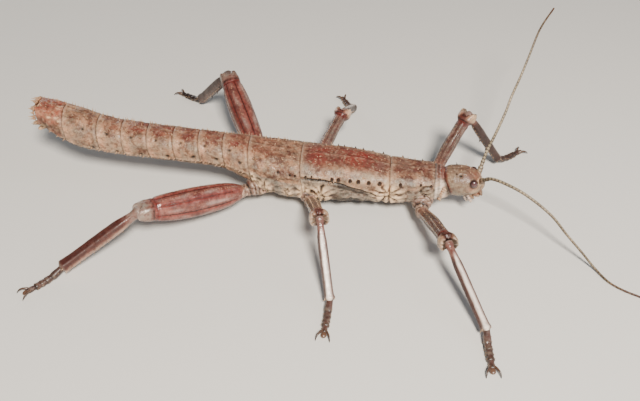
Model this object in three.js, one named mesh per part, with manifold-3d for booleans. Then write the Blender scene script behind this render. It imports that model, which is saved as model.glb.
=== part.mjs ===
// A giant stick insect (Eurycantha, male), life size, standing on six feet. Millimetres, +Z up.
// The insect faces +X, its left side is +Y, and the soles of its feet are at z = 0.
// While it is built, x = 0 is the joint between the middle and rear rings of the thorax.
import * as THREE from 'three';
import { mergeVertices } from 'three/addons/utils/BufferGeometryUtils.js';
import Module from 'manifold-3d';

const wasm = await Module();
wasm.setup();

// ---------- driving dimensions ----------

const GAP = 0.3;                 // clear space kept between two neighbouring pieces
const BODY_SIDES = 16;
const LIMB_SIDES = 8;
const FOOT_SIDES = 8;
const STANCE_CENTRE = { x: 5.63, y: -0.58 };   // middle of the whole outline: the origin

// Trunk from the tail to the neck. z is the height of the widest line of the section,
// up and down reach from it to the back and the belly, and square is 2 for an ellipse.
const TRUNK = [
  { x: -73.0, y: 3.2, z: 20.2, wide: 3.5, up: 3.1, down: 3.1, square: 2.5 },
  { x: -69.0, y: 2.6, z: 19.4, wide: 4.3, up: 3.8, down: 3.8, square: 2.4 },
  { x: -64.8, y: 2.0, z: 18.0, wide: 5.1, up: 4.5, down: 4.5, square: 2.3 },
  { x: -60.0, y: 1.4, z: 16.8, wide: 5.4, up: 4.7, down: 4.7, square: 2.3 },
  { x: -55.5, y: 1.0, z: 16.1, wide: 5.1, up: 4.4, down: 4.4, square: 2.3 },
  { x: -49.1, y: 0.6, z: 15.5, wide: 4.9, up: 4.3, down: 4.3, square: 2.3 },
  { x: -35.2, y: 0.1, z: 15.1, wide: 4.8, up: 4.1, down: 4.1, square: 2.3 },
  { x: -21.5, y: 0.0, z: 14.3, wide: 4.8, up: 4.2, down: 4.2, square: 2.4 },
  { x: -14.5, y: 0.0, z: 12.9, wide: 5.9, up: 4.6, down: 5.3, square: 2.7 },
  { x: -8.0, y: 0.0, z: 11.3, wide: 7.0, up: 5.2, down: 6.4, square: 3.0 },
  { x: 0.0, y: 0.0, z: 10.4, wide: 7.3, up: 5.4, down: 6.8, square: 3.1 },
  { x: 12.0, y: 0.0, z: 10.2, wide: 7.0, up: 5.1, down: 6.6, square: 3.1 },
  { x: 23.0, y: 0.0, z: 10.0, wide: 6.1, up: 4.0, down: 5.8, square: 3.0 },
  { x: 31.0, y: 0.0, z: 10.2, wide: 5.4, up: 3.5, down: 5.1, square: 2.8 },
  { x: 37.2, y: 0.0, z: 10.4, wide: 4.3, up: 3.2, down: 4.2, square: 2.5 },
];

const HEAD = [
  { x: 36.9, y: 0, z: 10.3, wide: 3.4, up: 3.0, down: 3.3, square: 2.2 },
  { x: 39.5, y: 0, z: 10.4, wide: 4.1, up: 3.9, down: 4.0, square: 2.3 },
  { x: 42.5, y: 0, z: 10.5, wide: 4.1, up: 4.0, down: 4.1, square: 2.4 },
  { x: 45.5, y: 0, z: 10.5, wide: 3.4, up: 3.5, down: 3.6, square: 2.5 },
  { x: 47.6, y: 0, z: 10.3, wide: 2.4, up: 2.3, down: 2.6, square: 2.4 },
];

// Where the rings of the thorax and the abdomen meet, counted from the neck backwards.
const THORAX_JOINTS = { prothorax: [37.2, 23.0], mesothorax: [23.0, 0.0], metathorax: [0.0, -14.5] };
const ABDOMEN_JOINTS = [-14.5, -21.5, -28.2, -35.2, -42.4, -49.1, -55.5, -64.8, -69.0, -73.0];
const FIRST_ABDOMEN_RING = 2;

// Thorns along each margin of the thorax rings.
const MARGIN_THORNS = {
  prothorax: { places: [25.6, 30.6, 33.4], height: 0.7 },
  mesothorax: { places: [3.0, 7.5, 11.3, 13.6, 16.2, 19.2], height: 0.9 },
  metathorax: { places: [-6.0, -3.2, -1.6], height: 0.6 },
};

// Thorns on the crown of the head, each one of a pair.
const CROWN_THORNS = [
  { x: 40.6, y: 1.9, z: 14.0, height: 0.8 },
  { x: 42.9, y: 2.0, z: 14.1, height: 0.5 },
];

const CERCUS_ROOT = { x: -70.9, y: 3.0, z: 16.6, spread: 1.4 };
const SOCKET = { x: 44.6, y: 2.2, z: 13.2, radius: 0.95, sides: 8 };
const EYE = { x: 44.0, y: 3.15, z: 12.9, radius: 1.05 };
const JAWS = { root: [44.2, 0, 7.6], tip: [48.2, 0, 5.9], length: 4.4 };
const PALPS = {
  maxillary: { root: [43.4, 2.0, 6.9], knee: [44.6, 2.9, 5.6], tip: [45.2, 2.4, 3.9], radius: 0.42 },
  labial: { root: [42.4, 0.9, 6.6], knee: [43.0, 1.4, 5.2], tip: [43.6, 1.1, 4.1], radius: 0.34 },
};

// Each pair of legs: the hip, the lengths of its pieces, half the thigh's width and height, half the
// shin's thickness, and how far the thigh is bowed upward.
const LEG_PAIRS = {
  front: {
    hipX: 31.5, hipZ: 6.7, femur: 18.5, tibia: 21.7, foot: 10.6, wide: 1.6, high: 1.7, shin: 1.1, bow: 0.6,
  },
  middle: {
    hipX: 1.8, hipZ: 6.4, femur: 19.4, tibia: 19.0, foot: 9.7, wide: 1.6, high: 1.7, shin: 1.1, bow: 0.6,
  },
  hind: {
    hipX: -12.0, hipZ: 7.1, femur: 28.9, tibia: 22.9, foot: 10.8, wide: 3.2, high: 3.6, shin: 1.5, bow: -0.5,
  },
};
const HIP = { y: 4.6, reach: 3.6, fall: 8 };
const ANKLE_HEIGHT = 2.4;
const CLAW_HEIGHT = 0.6;

// Thorns under the thigh and the shin, at fractions of their lengths, and the spurs of the ankle.
const THIGH_THORNS = { places: [0.4, 0.58, 0.76], height: 0.7, radius: 0.4 };
const SHIN_THORNS = { places: [0.5, 0.7], height: 0.7, radius: 0.36 };
const ANKLE_SPURS = { corners: [[1, 0.5], [-1, 0.5], [1, -0.6], [-1, -0.6]], height: 1.2, radius: 0.36 };

// The foot: half its thickness, the ends of its five joints and the heights it passes through.
const FOOT = { thick: 1.02, jointEnds: [0, 0.34, 0.51, 0.66, 0.79, 1], arch: 1.25, sole: 0.78 };
const CLAW = { root: 0.84, thick: 0.46, taper: 0.2, pad: 0.62, padLength: 1.9, padHeight: 0.5 };

// How each leg is held. Yaw is counted from straight out to the side, forwards is positive.
const STANCE = {
  front: {
    right: { hipYaw: -1, femurYaw: 22, femurLift: 15.5, tibiaYaw: 28.5, footYaw: 8 },
    left: { hipYaw: 48, femurYaw: 41, femurLift: 50.5, tibiaYaw: 60, footYaw: 46 },
  },
  middle: {
    right: { hipYaw: 18, femurYaw: 16, femurLift: 28, tibiaYaw: 17.5, footYaw: -1.5 },
    left: { hipYaw: 3.5, femurYaw: 17, femurLift: 17.5, tibiaYaw: 4, footYaw: -28 },
  },
  hind: {
    right: { hipYaw: -54.5, femurYaw: -51, femurLift: 11, tibiaYaw: -55, footYaw: -40.5 },
    left: { hipYaw: -26, femurYaw: -31, femurLift: 24, tibiaYaw: -48.5, footYaw: -61 },
  },
};

// Routes of the two feelers, from the socket to the tip. The right one droops to the ground.
const FEELER = { baseRadius: 0.62, tipRadius: 0.27 };
const FEELER_ROUTES = {
  right: [
    [45.3, -2.3, 13.8], [48.1, -3.7, 14.9], [51.5, -5.5, 15.1], [56.5, -8.0, 14.1], [62.7, -11.2, 11.1],
    [67.0, -13.4, 7.2], [71.0, -15.5, 3.8], [74.3, -17.4, 0.95], [77.3, -21.2, 0.22], [80.3, -23.5, 0.22],
    [84.6, -25.5, 0.22],
  ],
  left: [
    [45.3, 2.3, 13.9], [47.1, 7.0, 15.5], [48.3, 9.7, 16.9], [49.7, 12.9, 18.7], [51.5, 16.8, 22.0],
    [52.5, 19.2, 24.8], [54.8, 24.3, 28.9], [56.4, 27.8, 32.8], [58.6, 33.0, 37.6], [62.8, 42.4, 39.5],
  ],
};

// Colours of the outer skin, by kind of piece.
const FINISH = {
  body: new THREE.MeshStandardMaterial({ color: '#7d6656', roughness: 0.75 }),
  head: new THREE.MeshStandardMaterial({ color: '#80695c', roughness: 0.6 }),
  leg: new THREE.MeshStandardMaterial({ color: '#6b463c', roughness: 0.45 }),
  joint: new THREE.MeshStandardMaterial({ color: '#c79a73', roughness: 0.65 }),
  feeler: new THREE.MeshStandardMaterial({ color: '#b59b84', roughness: 0.6 }),
  eye: new THREE.MeshStandardMaterial({ color: '#3a2024', roughness: 0.12 }),
  claw: new THREE.MeshStandardMaterial({ color: '#3b2a22', roughness: 0.35 }),
  mouth: new THREE.MeshStandardMaterial({ color: '#a8806c', roughness: 0.5 }),
};

// ---------- shapes ----------

const degrees = THREE.MathUtils.degToRad;

// Reads a smooth value of one key at x from stations that stand in rising order of x.
function valueAt(stations, x, key) {
  const last = stations.length - 1;
  let i = 0;
  while (i < last - 1 && x > stations[i + 1].x) i += 1;
  const slope = (a, b) => (stations[b][key] - stations[a][key]) / (stations[b].x - stations[a].x);
  const span = stations[i + 1].x - stations[i].x;
  const t = THREE.MathUtils.clamp((x - stations[i].x) / span, 0, 1);
  const leaving = slope(Math.max(i - 1, 0), i + 1) * span;
  const arriving = slope(i, Math.min(i + 2, last)) * span;
  const t2 = t * t;
  const t3 = t2 * t;
  return (2 * t3 - 3 * t2 + 1) * stations[i][key] + (t3 - 2 * t2 + t) * leaving
    + (3 * t2 - 2 * t3) * stations[i + 1][key] + (t3 - t2) * arriving;
}

// A sphere's grid pulled over a run of rows. shape(row, across, lift) places one point, where
// across and lift are its direction round the row: across is to the left and lift is up.
function wrap(rows, sides, shape) {
  const grid = new THREE.SphereGeometry(1, sides, rows.length - 1);
  const points = grid.attributes.position;
  for (let i = 0; i < points.count; i += 1) {
    const rowIndex = rows.length - 1 - Math.floor(i / (sides + 1));
    const flat = Math.hypot(points.getX(i), points.getZ(i));
    const atPole = rowIndex === 0 || rowIndex === rows.length - 1;
    const across = atPole ? 0 : points.getZ(i) / flat;
    const lift = atPole ? 0 : points.getX(i) / flat;
    const point = shape(rows[rowIndex], across, lift);
    points.setXYZ(i, point.x, point.y, point.z);
  }
  return bare(grid);
}

// Only the positions, with shared vertices merged, so that the skin is one closed body.
function bare(geometry) {
  const copy = geometry.clone();
  copy.deleteAttribute('normal');
  copy.deleteAttribute('uv');
  return mergeVertices(copy, 1e-4);
}

// Rows from start to end. Each end is a flat disc with a chamfer, or a dome where dome is given.
function rowsBetween(start, end, { middle = 3, chamfer = 0.5, domeStart = 0, domeEnd = 0 } = {}) {
  const domeSteps = 2;
  const endRows = (at, inward, dome) => {
    if (!dome) return [{ x: at, scale: 0 }, { x: at, scale: 0.84 }, { x: at + inward * chamfer, scale: 1 }];
    return Array.from({ length: domeSteps + 1 }, (unused, i) => {
      const angle = (i / domeSteps) * Math.PI / 2;
      return { x: at + inward * dome * (1 - Math.cos(angle)), scale: Math.sin(angle) };
    });
  };
  const first = endRows(start, 1, domeStart);
  const last = endRows(end, -1, domeEnd).reverse();
  const from = first[first.length - 1].x;
  const to = last[0].x;
  const between = Array.from({ length: middle }, (unused, i) => (
    { x: from + (to - from) * (i + 1) / (middle + 1), scale: 1 }
  ));
  return [...first, ...between, ...last];
}

// A point of a rounded box section, as far out as its squareness takes it.
function roundedSection(across, lift, square) {
  const sum = Math.abs(across) ** square + Math.abs(lift) ** square;
  return sum === 0 ? 0 : sum ** (-1 / square);
}

// A length of the body between two places on its stations.
function bodyLength(stations, start, end, ends, grow = 0) {
  const rows = rowsBetween(start - grow, end + grow, ends);
  return wrap(rows, BODY_SIDES, (row, across, lift) => {
    const read = (key) => valueAt(stations, row.x, key);
    const reach = roundedSection(across, lift, read('square')) * row.scale;
    const tall = (lift > 0 ? read('up') : read('down')) + grow;
    const wide = read('wide') + grow;
    return new THREE.Vector3(row.x, read('y') + across * reach * wide, read('z') + lift * reach * tall);
  });
}

// A limb along +X from its own origin, whose stations give wide, up and down. Its middle line may
// be bowed upward by bow at half its length.
function limb(stations, ends, { grow = 0, square = 2.2, bow = 0 } = {}) {
  const start = stations[0].x;
  const end = stations[stations.length - 1].x;
  return wrap(rowsBetween(start, end, ends), LIMB_SIDES, (row, across, lift) => {
    const read = (key) => valueAt(stations, row.x, key);
    const reach = roundedSection(across, lift, square) * row.scale;
    const tall = (lift > 0 ? read('up') : read('down')) + grow;
    const rise = bow * Math.sin(Math.PI * (row.x - start) / (end - start));
    return new THREE.Vector3(row.x, across * reach * (read('wide') + grow), rise + lift * reach * tall);
  });
}

// A round tube that tapers along a curve between two fractions of its length.
function taperedTube(curve, { start = 0, end = 1, steps = 8, sides = 8, radius, grow = 0 }) {
  const inner = Array.from({ length: steps + 2 }, (unused, i) => (
    { x: THREE.MathUtils.lerp(start, end, i / (steps + 1)), scale: 1 }
  ));
  const rows = [{ x: start, scale: 0 }, ...inner, { x: end, scale: 0 }];
  return wrap(rows, sides, (row, across, lift) => {
    const forward = curve.getTangentAt(row.x);
    const left = new THREE.Vector3(0, 0, 1).cross(forward).normalize();
    const up = forward.clone().cross(left);
    const size = (radius(row.x) + grow) * row.scale;
    return curve.getPointAt(row.x).addScaledVector(left, across * size).addScaledVector(up, lift * size);
  });
}

// A thorn: a cone whose foot is sunk into what it grows from.
function thorn(foot, direction, height, radius = 0.5) {
  const sunk = 0.5;
  const sides = 4;
  const cone = new THREE.ConeGeometry(radius, height + sunk, sides);
  cone.translate(0, (height - sunk) / 2, 0);
  const coneAxis = new THREE.Vector3(0, 1, 0);
  cone.applyQuaternion(new THREE.Quaternion().setFromUnitVectors(coneAxis, direction.clone().normalize()));
  cone.translate(foot.x, foot.y, foot.z);
  return bare(cone);
}

// ---------- cutting and joining ----------

function toSolid(geometry) {
  return new wasm.Manifold(new wasm.Mesh({
    numProp: 3,
    vertProperties: new Float32Array(geometry.attributes.position.array),
    triVerts: new Uint32Array(geometry.index.array),
  }));
}

function toGeometry(solid) {
  const mesh = solid.getMesh();
  const geometry = new THREE.BufferGeometry();
  geometry.setAttribute('position', new THREE.BufferAttribute(mesh.vertProperties, 3));
  geometry.setIndex(new THREE.BufferAttribute(mesh.triVerts, 1));
  return geometry;
}

function join(geometries) {
  return toGeometry(geometries.map(toSolid).reduce((whole, solid) => whole.add(solid)));
}

// Takes the space of a neighbour, grown by the gap, out of a mesh, and keeps the largest piece left.
function makeRoom(mesh, neighbour) {
  mesh.updateWorldMatrix(true, false);
  neighbour.updateWorldMatrix(true, false);
  const intoMesh = mesh.matrixWorld.clone().invert().multiply(neighbour.matrixWorld);
  const space = toSolid(neighbour.userData.grown.clone().applyMatrix4(intoMesh));
  const pieces = toSolid(mesh.geometry).subtract(space).decompose();
  pieces.sort((a, b) => b.volume() - a.volume());
  mesh.geometry = toGeometry(pieces[0]);
}

// Cuts off whatever would reach below the ground, which leaves a flat sole. The piece itself
// is neither turned nor moved.
function cutAtGround(mesh) {
  const depth = 10;
  const ground = new THREE.BoxGeometry(400, 400, depth).translate(0, 0, -depth / 2);
  mesh.geometry = toGeometry(toSolid(mesh.geometry).subtract(toSolid(bare(ground))));
}

// ---------- the insect ----------

const insect = new THREE.Group();
insect.position.set(-STANCE_CENTRE.x, -STANCE_CENTRE.y, 0);

// make(grow) returns the piece's geometry, swollen by grow on every side.
function addPiece(name, finish, make) {
  const mesh = new THREE.Mesh(make(0), FINISH[finish]);
  mesh.name = name;
  mesh.userData.grown = make(GAP);
  insect.add(mesh);
  return mesh;
}

// Turns and moves a piece so that its own +X runs from one point to another, its back upward.
function aim(mesh, from, to) {
  const forward = to.clone().sub(from).normalize();
  const left = new THREE.Vector3(0, 0, 1).cross(forward).normalize();
  const up = forward.clone().cross(left);
  mesh.quaternion.setFromRotationMatrix(new THREE.Matrix4().makeBasis(forward, left, up));
  mesh.position.copy(from);
}

// Thorns in a row along each side of a thorax ring: places along x, on the margin of the back.
function marginThorns({ places, height }) {
  const lean = 0.6;
  const thorns = [];
  for (const side of [-1, 1]) {
    for (const x of places) {
      const y = side * (valueAt(TRUNK, x, 'wide') * 0.93);
      const z = valueAt(TRUNK, x, 'z') + valueAt(TRUNK, x, 'up') * 0.5;
      thorns.push(thorn(new THREE.Vector3(x, y, z), new THREE.Vector3(0.1, side, lean), height));
    }
  }
  return thorns;
}

function makeThorax() {
  const rings = {};
  for (const [name, [front, back]] of Object.entries(THORAX_JOINTS)) {
    const middle = Math.round((front - back) / 8);
    const ring = (grow) => bodyLength(TRUNK, back + GAP / 2, front - GAP / 2, { middle, chamfer: 0.5 }, grow);
    rings[name] = addPiece(name, 'body', ring);
    rings[name].geometry = join([rings[name].geometry, ...marginThorns(MARGIN_THORNS[name])]);
  }
  return rings;
}

function makeAbdomen() {
  for (let i = 0; i < ABDOMEN_JOINTS.length - 1; i += 1) {
    const [front, back] = [ABDOMEN_JOINTS[i], ABDOMEN_JOINTS[i + 1]];
    const isLast = i === ABDOMEN_JOINTS.length - 2;
    const ends = { middle: 0, chamfer: 0.4, domeStart: isLast ? 1.2 : 0 };
    const ring = (grow) => bodyLength(TRUNK, back + GAP / 2, front - GAP / 2, ends, grow);
    addPiece(`abdomen_${FIRST_ABDOMEN_RING + i}`, 'body', ring);
  }
}

// Two short blunt feelers at the tail, one each side of the last ring.
function makeCerci() {
  const lastRing = insect.getObjectByName(`abdomen_${FIRST_ABDOMEN_RING + ABDOMEN_JOINTS.length - 2}`);
  for (const [name, side] of [['left', 1], ['right', -1]]) {
    const root = new THREE.Vector3(CERCUS_ROOT.x, CERCUS_ROOT.y + side * CERCUS_ROOT.spread, CERCUS_ROOT.z);
    const tip = root.clone().add(new THREE.Vector3(-2.4, side * 0.3, -1.2));
    const stations = [
      { x: 0, wide: 0.8, up: 0.7, down: 0.7 },
      { x: 1.6, wide: 0.8, up: 0.7, down: 0.7 },
      { x: 2.7, wide: 0.5, up: 0.4, down: 0.4 },
    ];
    const mesh = addPiece(`cercus_${name}`, 'joint', (grow) => (
      limb(stations, { middle: 1, domeEnd: 0.6 }, { grow })
    ));
    aim(mesh, root, tip);
    makeRoom(mesh, lastRing);
  }
}

// ---------- head ----------

// A low round boss of the head that carries a feeler.
function feelerSocket(side, grow) {
  const size = SOCKET.radius + grow;
  const centre = new THREE.Vector3(SOCKET.x, side * SOCKET.y, SOCKET.z);
  const rows = rowsBetween(-size, size, { middle: 0, domeStart: size, domeEnd: size });
  return wrap(rows, SOCKET.sides, (row, across, lift) => (
    new THREE.Vector3(row.x, across * row.scale * size, lift * row.scale * size).add(centre)
  ));
}

function makeHead(prothorax) {
  const ends = { middle: 3, domeStart: 1.2, domeEnd: 1.8 };
  const shell = (grow) => bodyLength(HEAD, HEAD[0].x, HEAD[HEAD.length - 1].x, ends, grow);
  const whole = (grow) => join([shell(grow), feelerSocket(1, grow), feelerSocket(-1, grow)]);
  const head = addPiece('head', 'head', whole);
  const thorns = [];
  for (const side of [-1, 1]) {
    for (const { x, y, z, height } of CROWN_THORNS) {
      thorns.push(thorn(new THREE.Vector3(x, side * y, z), new THREE.Vector3(0, side * 0.4, 1), height));
    }
  }
  head.geometry = join([head.geometry, ...thorns]);
  makeRoom(head, prothorax);
  return head;
}

function makeEyes(head) {
  for (const [name, side] of [['left', 1], ['right', -1]]) {
    const ball = (grow) => {
      const sphere = new THREE.SphereGeometry(EYE.radius + grow, 10, 7);
      sphere.scale(1, 0.75, 1);
      return bare(sphere);
    };
    const eye = addPiece(`eye_${name}`, 'eye', ball);
    eye.position.set(EYE.x, side * EYE.y, EYE.z);
    makeRoom(head, eye);
  }
}

// Upper lip and jaws under the front of the head, then the two pairs of palps below them.
function makeMouth(head) {
  const stations = [
    { x: 0, wide: 2.4, up: 1.6, down: 1.4 },
    { x: JAWS.length / 2, wide: 2.3, up: 1.5, down: 1.5 },
    { x: JAWS.length, wide: 1.3, up: 0.9, down: 1.0 },
  ];
  const mouth = addPiece('mouthparts', 'mouth', (grow) => (
    limb(stations, { middle: 2, domeStart: 1.0, domeEnd: 1.2 }, { grow, square: 2.6 })
  ));
  aim(mouth, new THREE.Vector3(...JAWS.root), new THREE.Vector3(...JAWS.tip));
  makeRoom(mouth, head);
  for (const [kind, palp] of Object.entries(PALPS)) {
    for (const [name, side] of [['left', 1], ['right', -1]]) {
      const points = [palp.root, palp.knee, palp.tip].map(([x, y, z]) => new THREE.Vector3(x, side * y, z));
      const curve = new THREE.QuadraticBezierCurve3(...points);
      const mesh = addPiece(`${kind}_palp_${name}`, 'mouth', (grow) => (
        taperedTube(curve, { steps: 2, sides: 6, radius: () => palp.radius, grow })
      ));
      makeRoom(mesh, head);
      makeRoom(mesh, mouth);
    }
  }
}

// Each feeler in three lengths, with the thick first joint in the first of them.
function makeFeelers(head) {
  const lengths = { base: [0, 0.3], middle: [0.3, 0.65], tip: [0.65, 1] };
  for (const [side, route] of Object.entries(FEELER_ROUTES)) {
    const curve = new THREE.CatmullRomCurve3(route.map((point) => new THREE.Vector3(...point)));
    const cut = GAP / 2 / curve.getLength();
    const radius = (t) => {
      const swelling = 0.28 * Math.exp(-((t / 0.05) ** 2));
      return THREE.MathUtils.lerp(FEELER.baseRadius, FEELER.tipRadius, Math.min(t * 1.4, 1)) + swelling;
    };
    for (const [part, [start, end]] of Object.entries(lengths)) {
      const mesh = addPiece(`antenna_${side}_${part}`, 'feeler', (grow) => (
        taperedTube(curve, { start: start + cut, end: end - cut, steps: 6, sides: 6, radius, grow })
      ));
      if (part === 'base') makeRoom(mesh, head);
      cutAtGround(mesh);
    }
  }
}

// ---------- legs ----------

function legJoints(pair, side, pose) {
  const out = side === 'left' ? 1 : -1;
  const step = (yaw, lift, length) => new THREE.Vector3(
    Math.cos(lift) * Math.sin(yaw) * length,
    out * Math.cos(lift) * Math.cos(yaw) * length,
    Math.sin(lift) * length,
  );
  const size = LEG_PAIRS[pair];
  const hip = new THREE.Vector3(size.hipX, out * HIP.y, size.hipZ);
  const root = hip.clone().add(step(degrees(pose.hipYaw), -degrees(HIP.fall), HIP.reach));
  const knee = root.clone().add(step(degrees(pose.femurYaw), degrees(pose.femurLift), size.femur));
  const shinFall = Math.asin((knee.z - ANKLE_HEIGHT) / size.tibia);
  const ankle = knee.clone().add(step(degrees(pose.tibiaYaw), -shinFall, size.tibia));
  const footFall = Math.asin((ANKLE_HEIGHT - CLAW_HEIGHT) / size.foot);
  const claw = ankle.clone().add(step(degrees(pose.footYaw), -footFall, size.foot));
  return { hip, root, knee, ankle, claw };
}

function makeCoxa(name, joints, ring) {
  const length = joints.hip.distanceTo(joints.root);
  const stations = [
    { x: 0, wide: 2.7, up: 2.4, down: 2.4 },
    { x: length * 0.6, wide: 2.6, up: 2.4, down: 2.3 },
    { x: length + 0.6, wide: 1.9, up: 1.8, down: 1.8 },
  ];
  const coxa = addPiece(`coxa_${name}`, 'joint', (grow) => (
    limb(stations, { middle: 1, domeEnd: 0.8 }, { grow })
  ));
  aim(coxa, joints.hip, joints.root);
  makeRoom(coxa, ring);
  return coxa;
}

// The thigh, with the short trochanter at its root and a pair of round lobes at the knee.
function makeFemur(name, size, joints, coxa) {
  const { wide, high, bow, femur: length } = size;
  const swell = high > 3 ? 1 : 0.92;
  const lobe = {
    wide: Math.max(wide * 0.78, 2.1),
    up: Math.max(high * 0.68, 2.0),
    down: Math.max(high * 0.7, 2.1),
  };
  const stations = [
    { x: 0.2, wide: 1.6, up: 1.5, down: 1.5 },
    { x: length * 0.12, wide: wide * 0.72, up: high * 0.72, down: high * 0.72 },
    { x: length * 0.4, wide, up: high, down: high },
    { x: length * 0.7, wide: wide * swell, up: high * 0.92, down: high * 0.94 },
    { x: length * 0.93, ...lobe },
    { x: length + 0.7, wide: 1.9, up: 1.6, down: 1.9 },
  ];
  const femur = addPiece(`femur_${name}`, 'leg', (grow) => (
    limb(stations, { middle: 3, chamfer: 0.5, domeEnd: 1.1 }, { grow, square: 2.6, bow })
  ));
  aim(femur, joints.root, joints.knee);
  const thorns = [];
  for (const place of THIGH_THORNS.places) {
    const x = length * place;
    const rise = bow * Math.sin(Math.PI * place);
    const foot = new THREE.Vector3(x, 0, rise - valueAt(stations, x, 'down') + 0.1);
    const { height, radius } = THIGH_THORNS;
    thorns.push(thorn(foot, new THREE.Vector3(0.35, 0, -1), height, radius));
  }
  femur.geometry = join([femur.geometry, ...thorns]);
  makeRoom(femur, coxa);
  return femur;
}

// The shin: a narrow neck inside the knee, a straight shaft, and spurs round the ankle.
function makeTibia(name, size, joints, femur) {
  const { shin: thick, tibia: length } = size;
  const stations = [
    { x: -0.4, wide: thick * 0.66, up: thick * 0.66, down: thick * 0.66 },
    { x: length * 0.14, wide: thick * 0.8, up: thick * 0.82, down: thick * 0.8 },
    { x: length * 0.4, wide: thick, up: thick, down: thick * 1.05 },
    { x: length * 0.85, wide: thick, up: thick * 0.95, down: thick * 1.02 },
    { x: length - 0.2, wide: thick * 0.9, up: thick * 0.9, down: thick * 0.9 },
  ];
  const tibia = addPiece(`tibia_${name}`, 'leg', (grow) => (
    limb(stations, { middle: 2, chamfer: 0.4 }, { grow, square: 2.6 })
  ));
  aim(tibia, joints.knee, joints.ankle);
  const thorns = [];
  for (const place of SHIN_THORNS.places) {
    const foot = new THREE.Vector3(length * place, 0, -thick);
    const { height, radius } = SHIN_THORNS;
    thorns.push(thorn(foot, new THREE.Vector3(0.7, 0, -1), height, radius));
  }
  for (const [across, lift] of ANKLE_SPURS.corners) {
    const foot = new THREE.Vector3(length - 1.1, across * thick * 0.75, lift * thick * 0.8);
    const direction = new THREE.Vector3(1, across * 0.55, lift * 0.55);
    thorns.push(thorn(foot, direction, ANKLE_SPURS.height, ANKLE_SPURS.radius));
  }
  tibia.geometry = join([tibia.geometry, ...thorns]);
  makeRoom(tibia, femur);
  return tibia;
}

// Five foot joints on one route that comes down to the ground, each with a pad underneath.
function makeFoot(name, joints, tibia) {
  const { jointEnds } = FOOT;
  const over = (fraction, height) => joints.ankle.clone().lerp(joints.claw, fraction).setZ(height);
  const soles = [over(0.24, FOOT.arch), over(0.55, FOOT.sole), over(0.86, FOOT.sole)];
  const route = new THREE.CatmullRomCurve3([joints.ankle, ...soles]);
  const foot = addPiece(`foot_${name}`, 'leg', (grow) => {
    const rows = rowsBetween(0, 1, { middle: 6, chamfer: 0.02 });
    return wrap(rows, FOOT_SIDES, (row, across, lift) => {
      const piece = jointEnds.findIndex((end) => row.x <= end + 1e-6) || 1;
      const within = (row.x - jointEnds[piece - 1]) / (jointEnds[piece] - jointEnds[piece - 1]);
      const isLast = piece === jointEnds.length - 1;
      const heel = isLast ? 0.62 : 0.78 + 0.22 * Math.sin(within * Math.PI * 0.8);
      const forward = route.getTangentAt(row.x);
      const left = new THREE.Vector3(0, 0, 1).cross(forward).normalize();
      const up = forward.clone().cross(left);
      const size = (FOOT.thick * heel + grow) * row.scale;
      const point = route.getPointAt(row.x);
      return point.addScaledVector(left, across * size).addScaledVector(up, lift * size);
    });
  });
  makeRoom(foot, tibia);
  cutAtGround(foot);
  return foot;
}

// A pair of hooked claws with a round pad between them.
function makeClaws(name, joints, foot) {
  const forward = joints.claw.clone().sub(joints.ankle).setZ(0).normalize();
  const left = new THREE.Vector3(0, 0, 1).cross(forward);
  const root = joints.ankle.clone().lerp(joints.claw, CLAW.root);
  const reach = (ahead, across, height) => (
    root.clone().addScaledVector(forward, ahead).addScaledVector(left, across).setZ(height)
  );
  const hook = (side) => (grow) => {
    const bend = new THREE.CatmullRomCurve3([
      reach(-0.2, side * 0.2, 0.9),
      reach(0.9, side * 0.95, 1.25),
      reach(2.0, side * 1.5, 0.9),
      reach(2.5, side * 1.6, 0.2),
    ]);
    const radius = (t) => CLAW.thick - CLAW.taper * t;
    return taperedTube(bend, { steps: 2, sides: 4, radius, grow });
  };
  const padRows = rowsBetween(-0.2, CLAW.padLength, { middle: 0, domeStart: 0.6, domeEnd: 0.8 });
  const pad = (grow) => wrap(padRows, 6, (row, across, lift) => {
    const size = (CLAW.pad + grow) * row.scale;
    return reach(row.x, across * size, CLAW.padHeight + lift * size);
  });
  const claws = addPiece(`claws_${name}`, 'claw', (grow) => (
    join([hook(1)(grow), hook(-1)(grow), pad(grow)])
  ));
  makeRoom(claws, foot);
  cutAtGround(claws);
}

function makeLegs(thorax) {
  const ringOf = { front: thorax.prothorax, middle: thorax.mesothorax, hind: thorax.metathorax };
  for (const [pair, sides] of Object.entries(STANCE)) {
    for (const [side, pose] of Object.entries(sides)) {
      const name = `${pair}_${side}`;
      const joints = legJoints(pair, side, pose);
      const coxa = makeCoxa(name, joints, ringOf[pair]);
      if (pair === 'middle') makeRoom(coxa, thorax.metathorax);
      const femur = makeFemur(name, LEG_PAIRS[pair], joints, coxa);
      makeRoom(femur, ringOf[pair]);
      const tibia = makeTibia(name, LEG_PAIRS[pair], joints, femur);
      const foot = makeFoot(name, joints, tibia);
      makeClaws(name, joints, foot);
    }
  }
}

const thorax = makeThorax();
makeAbdomen();
makeCerci();
const head = makeHead(thorax.prothorax);
makeEyes(head);
makeMouth(head);
makeFeelers(head);
makeLegs(thorax);

export default insect;
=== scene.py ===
import math
import random

import bpy
import numpy as np
from mathutils import Matrix, Vector, noise


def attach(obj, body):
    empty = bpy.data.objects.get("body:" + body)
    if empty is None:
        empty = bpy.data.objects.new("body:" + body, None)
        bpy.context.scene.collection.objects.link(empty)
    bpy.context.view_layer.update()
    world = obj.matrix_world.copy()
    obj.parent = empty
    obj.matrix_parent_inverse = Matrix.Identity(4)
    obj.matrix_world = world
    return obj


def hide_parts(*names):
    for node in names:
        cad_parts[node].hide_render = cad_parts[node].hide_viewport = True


# A grown male giant stick insect, life size, on a plain pale floor.
# Lengths are written in millimetres from the joint between the middle and rear thorax rings,
# with the head at +x, the insect's left at +y, and the floor at z = 0.

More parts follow.
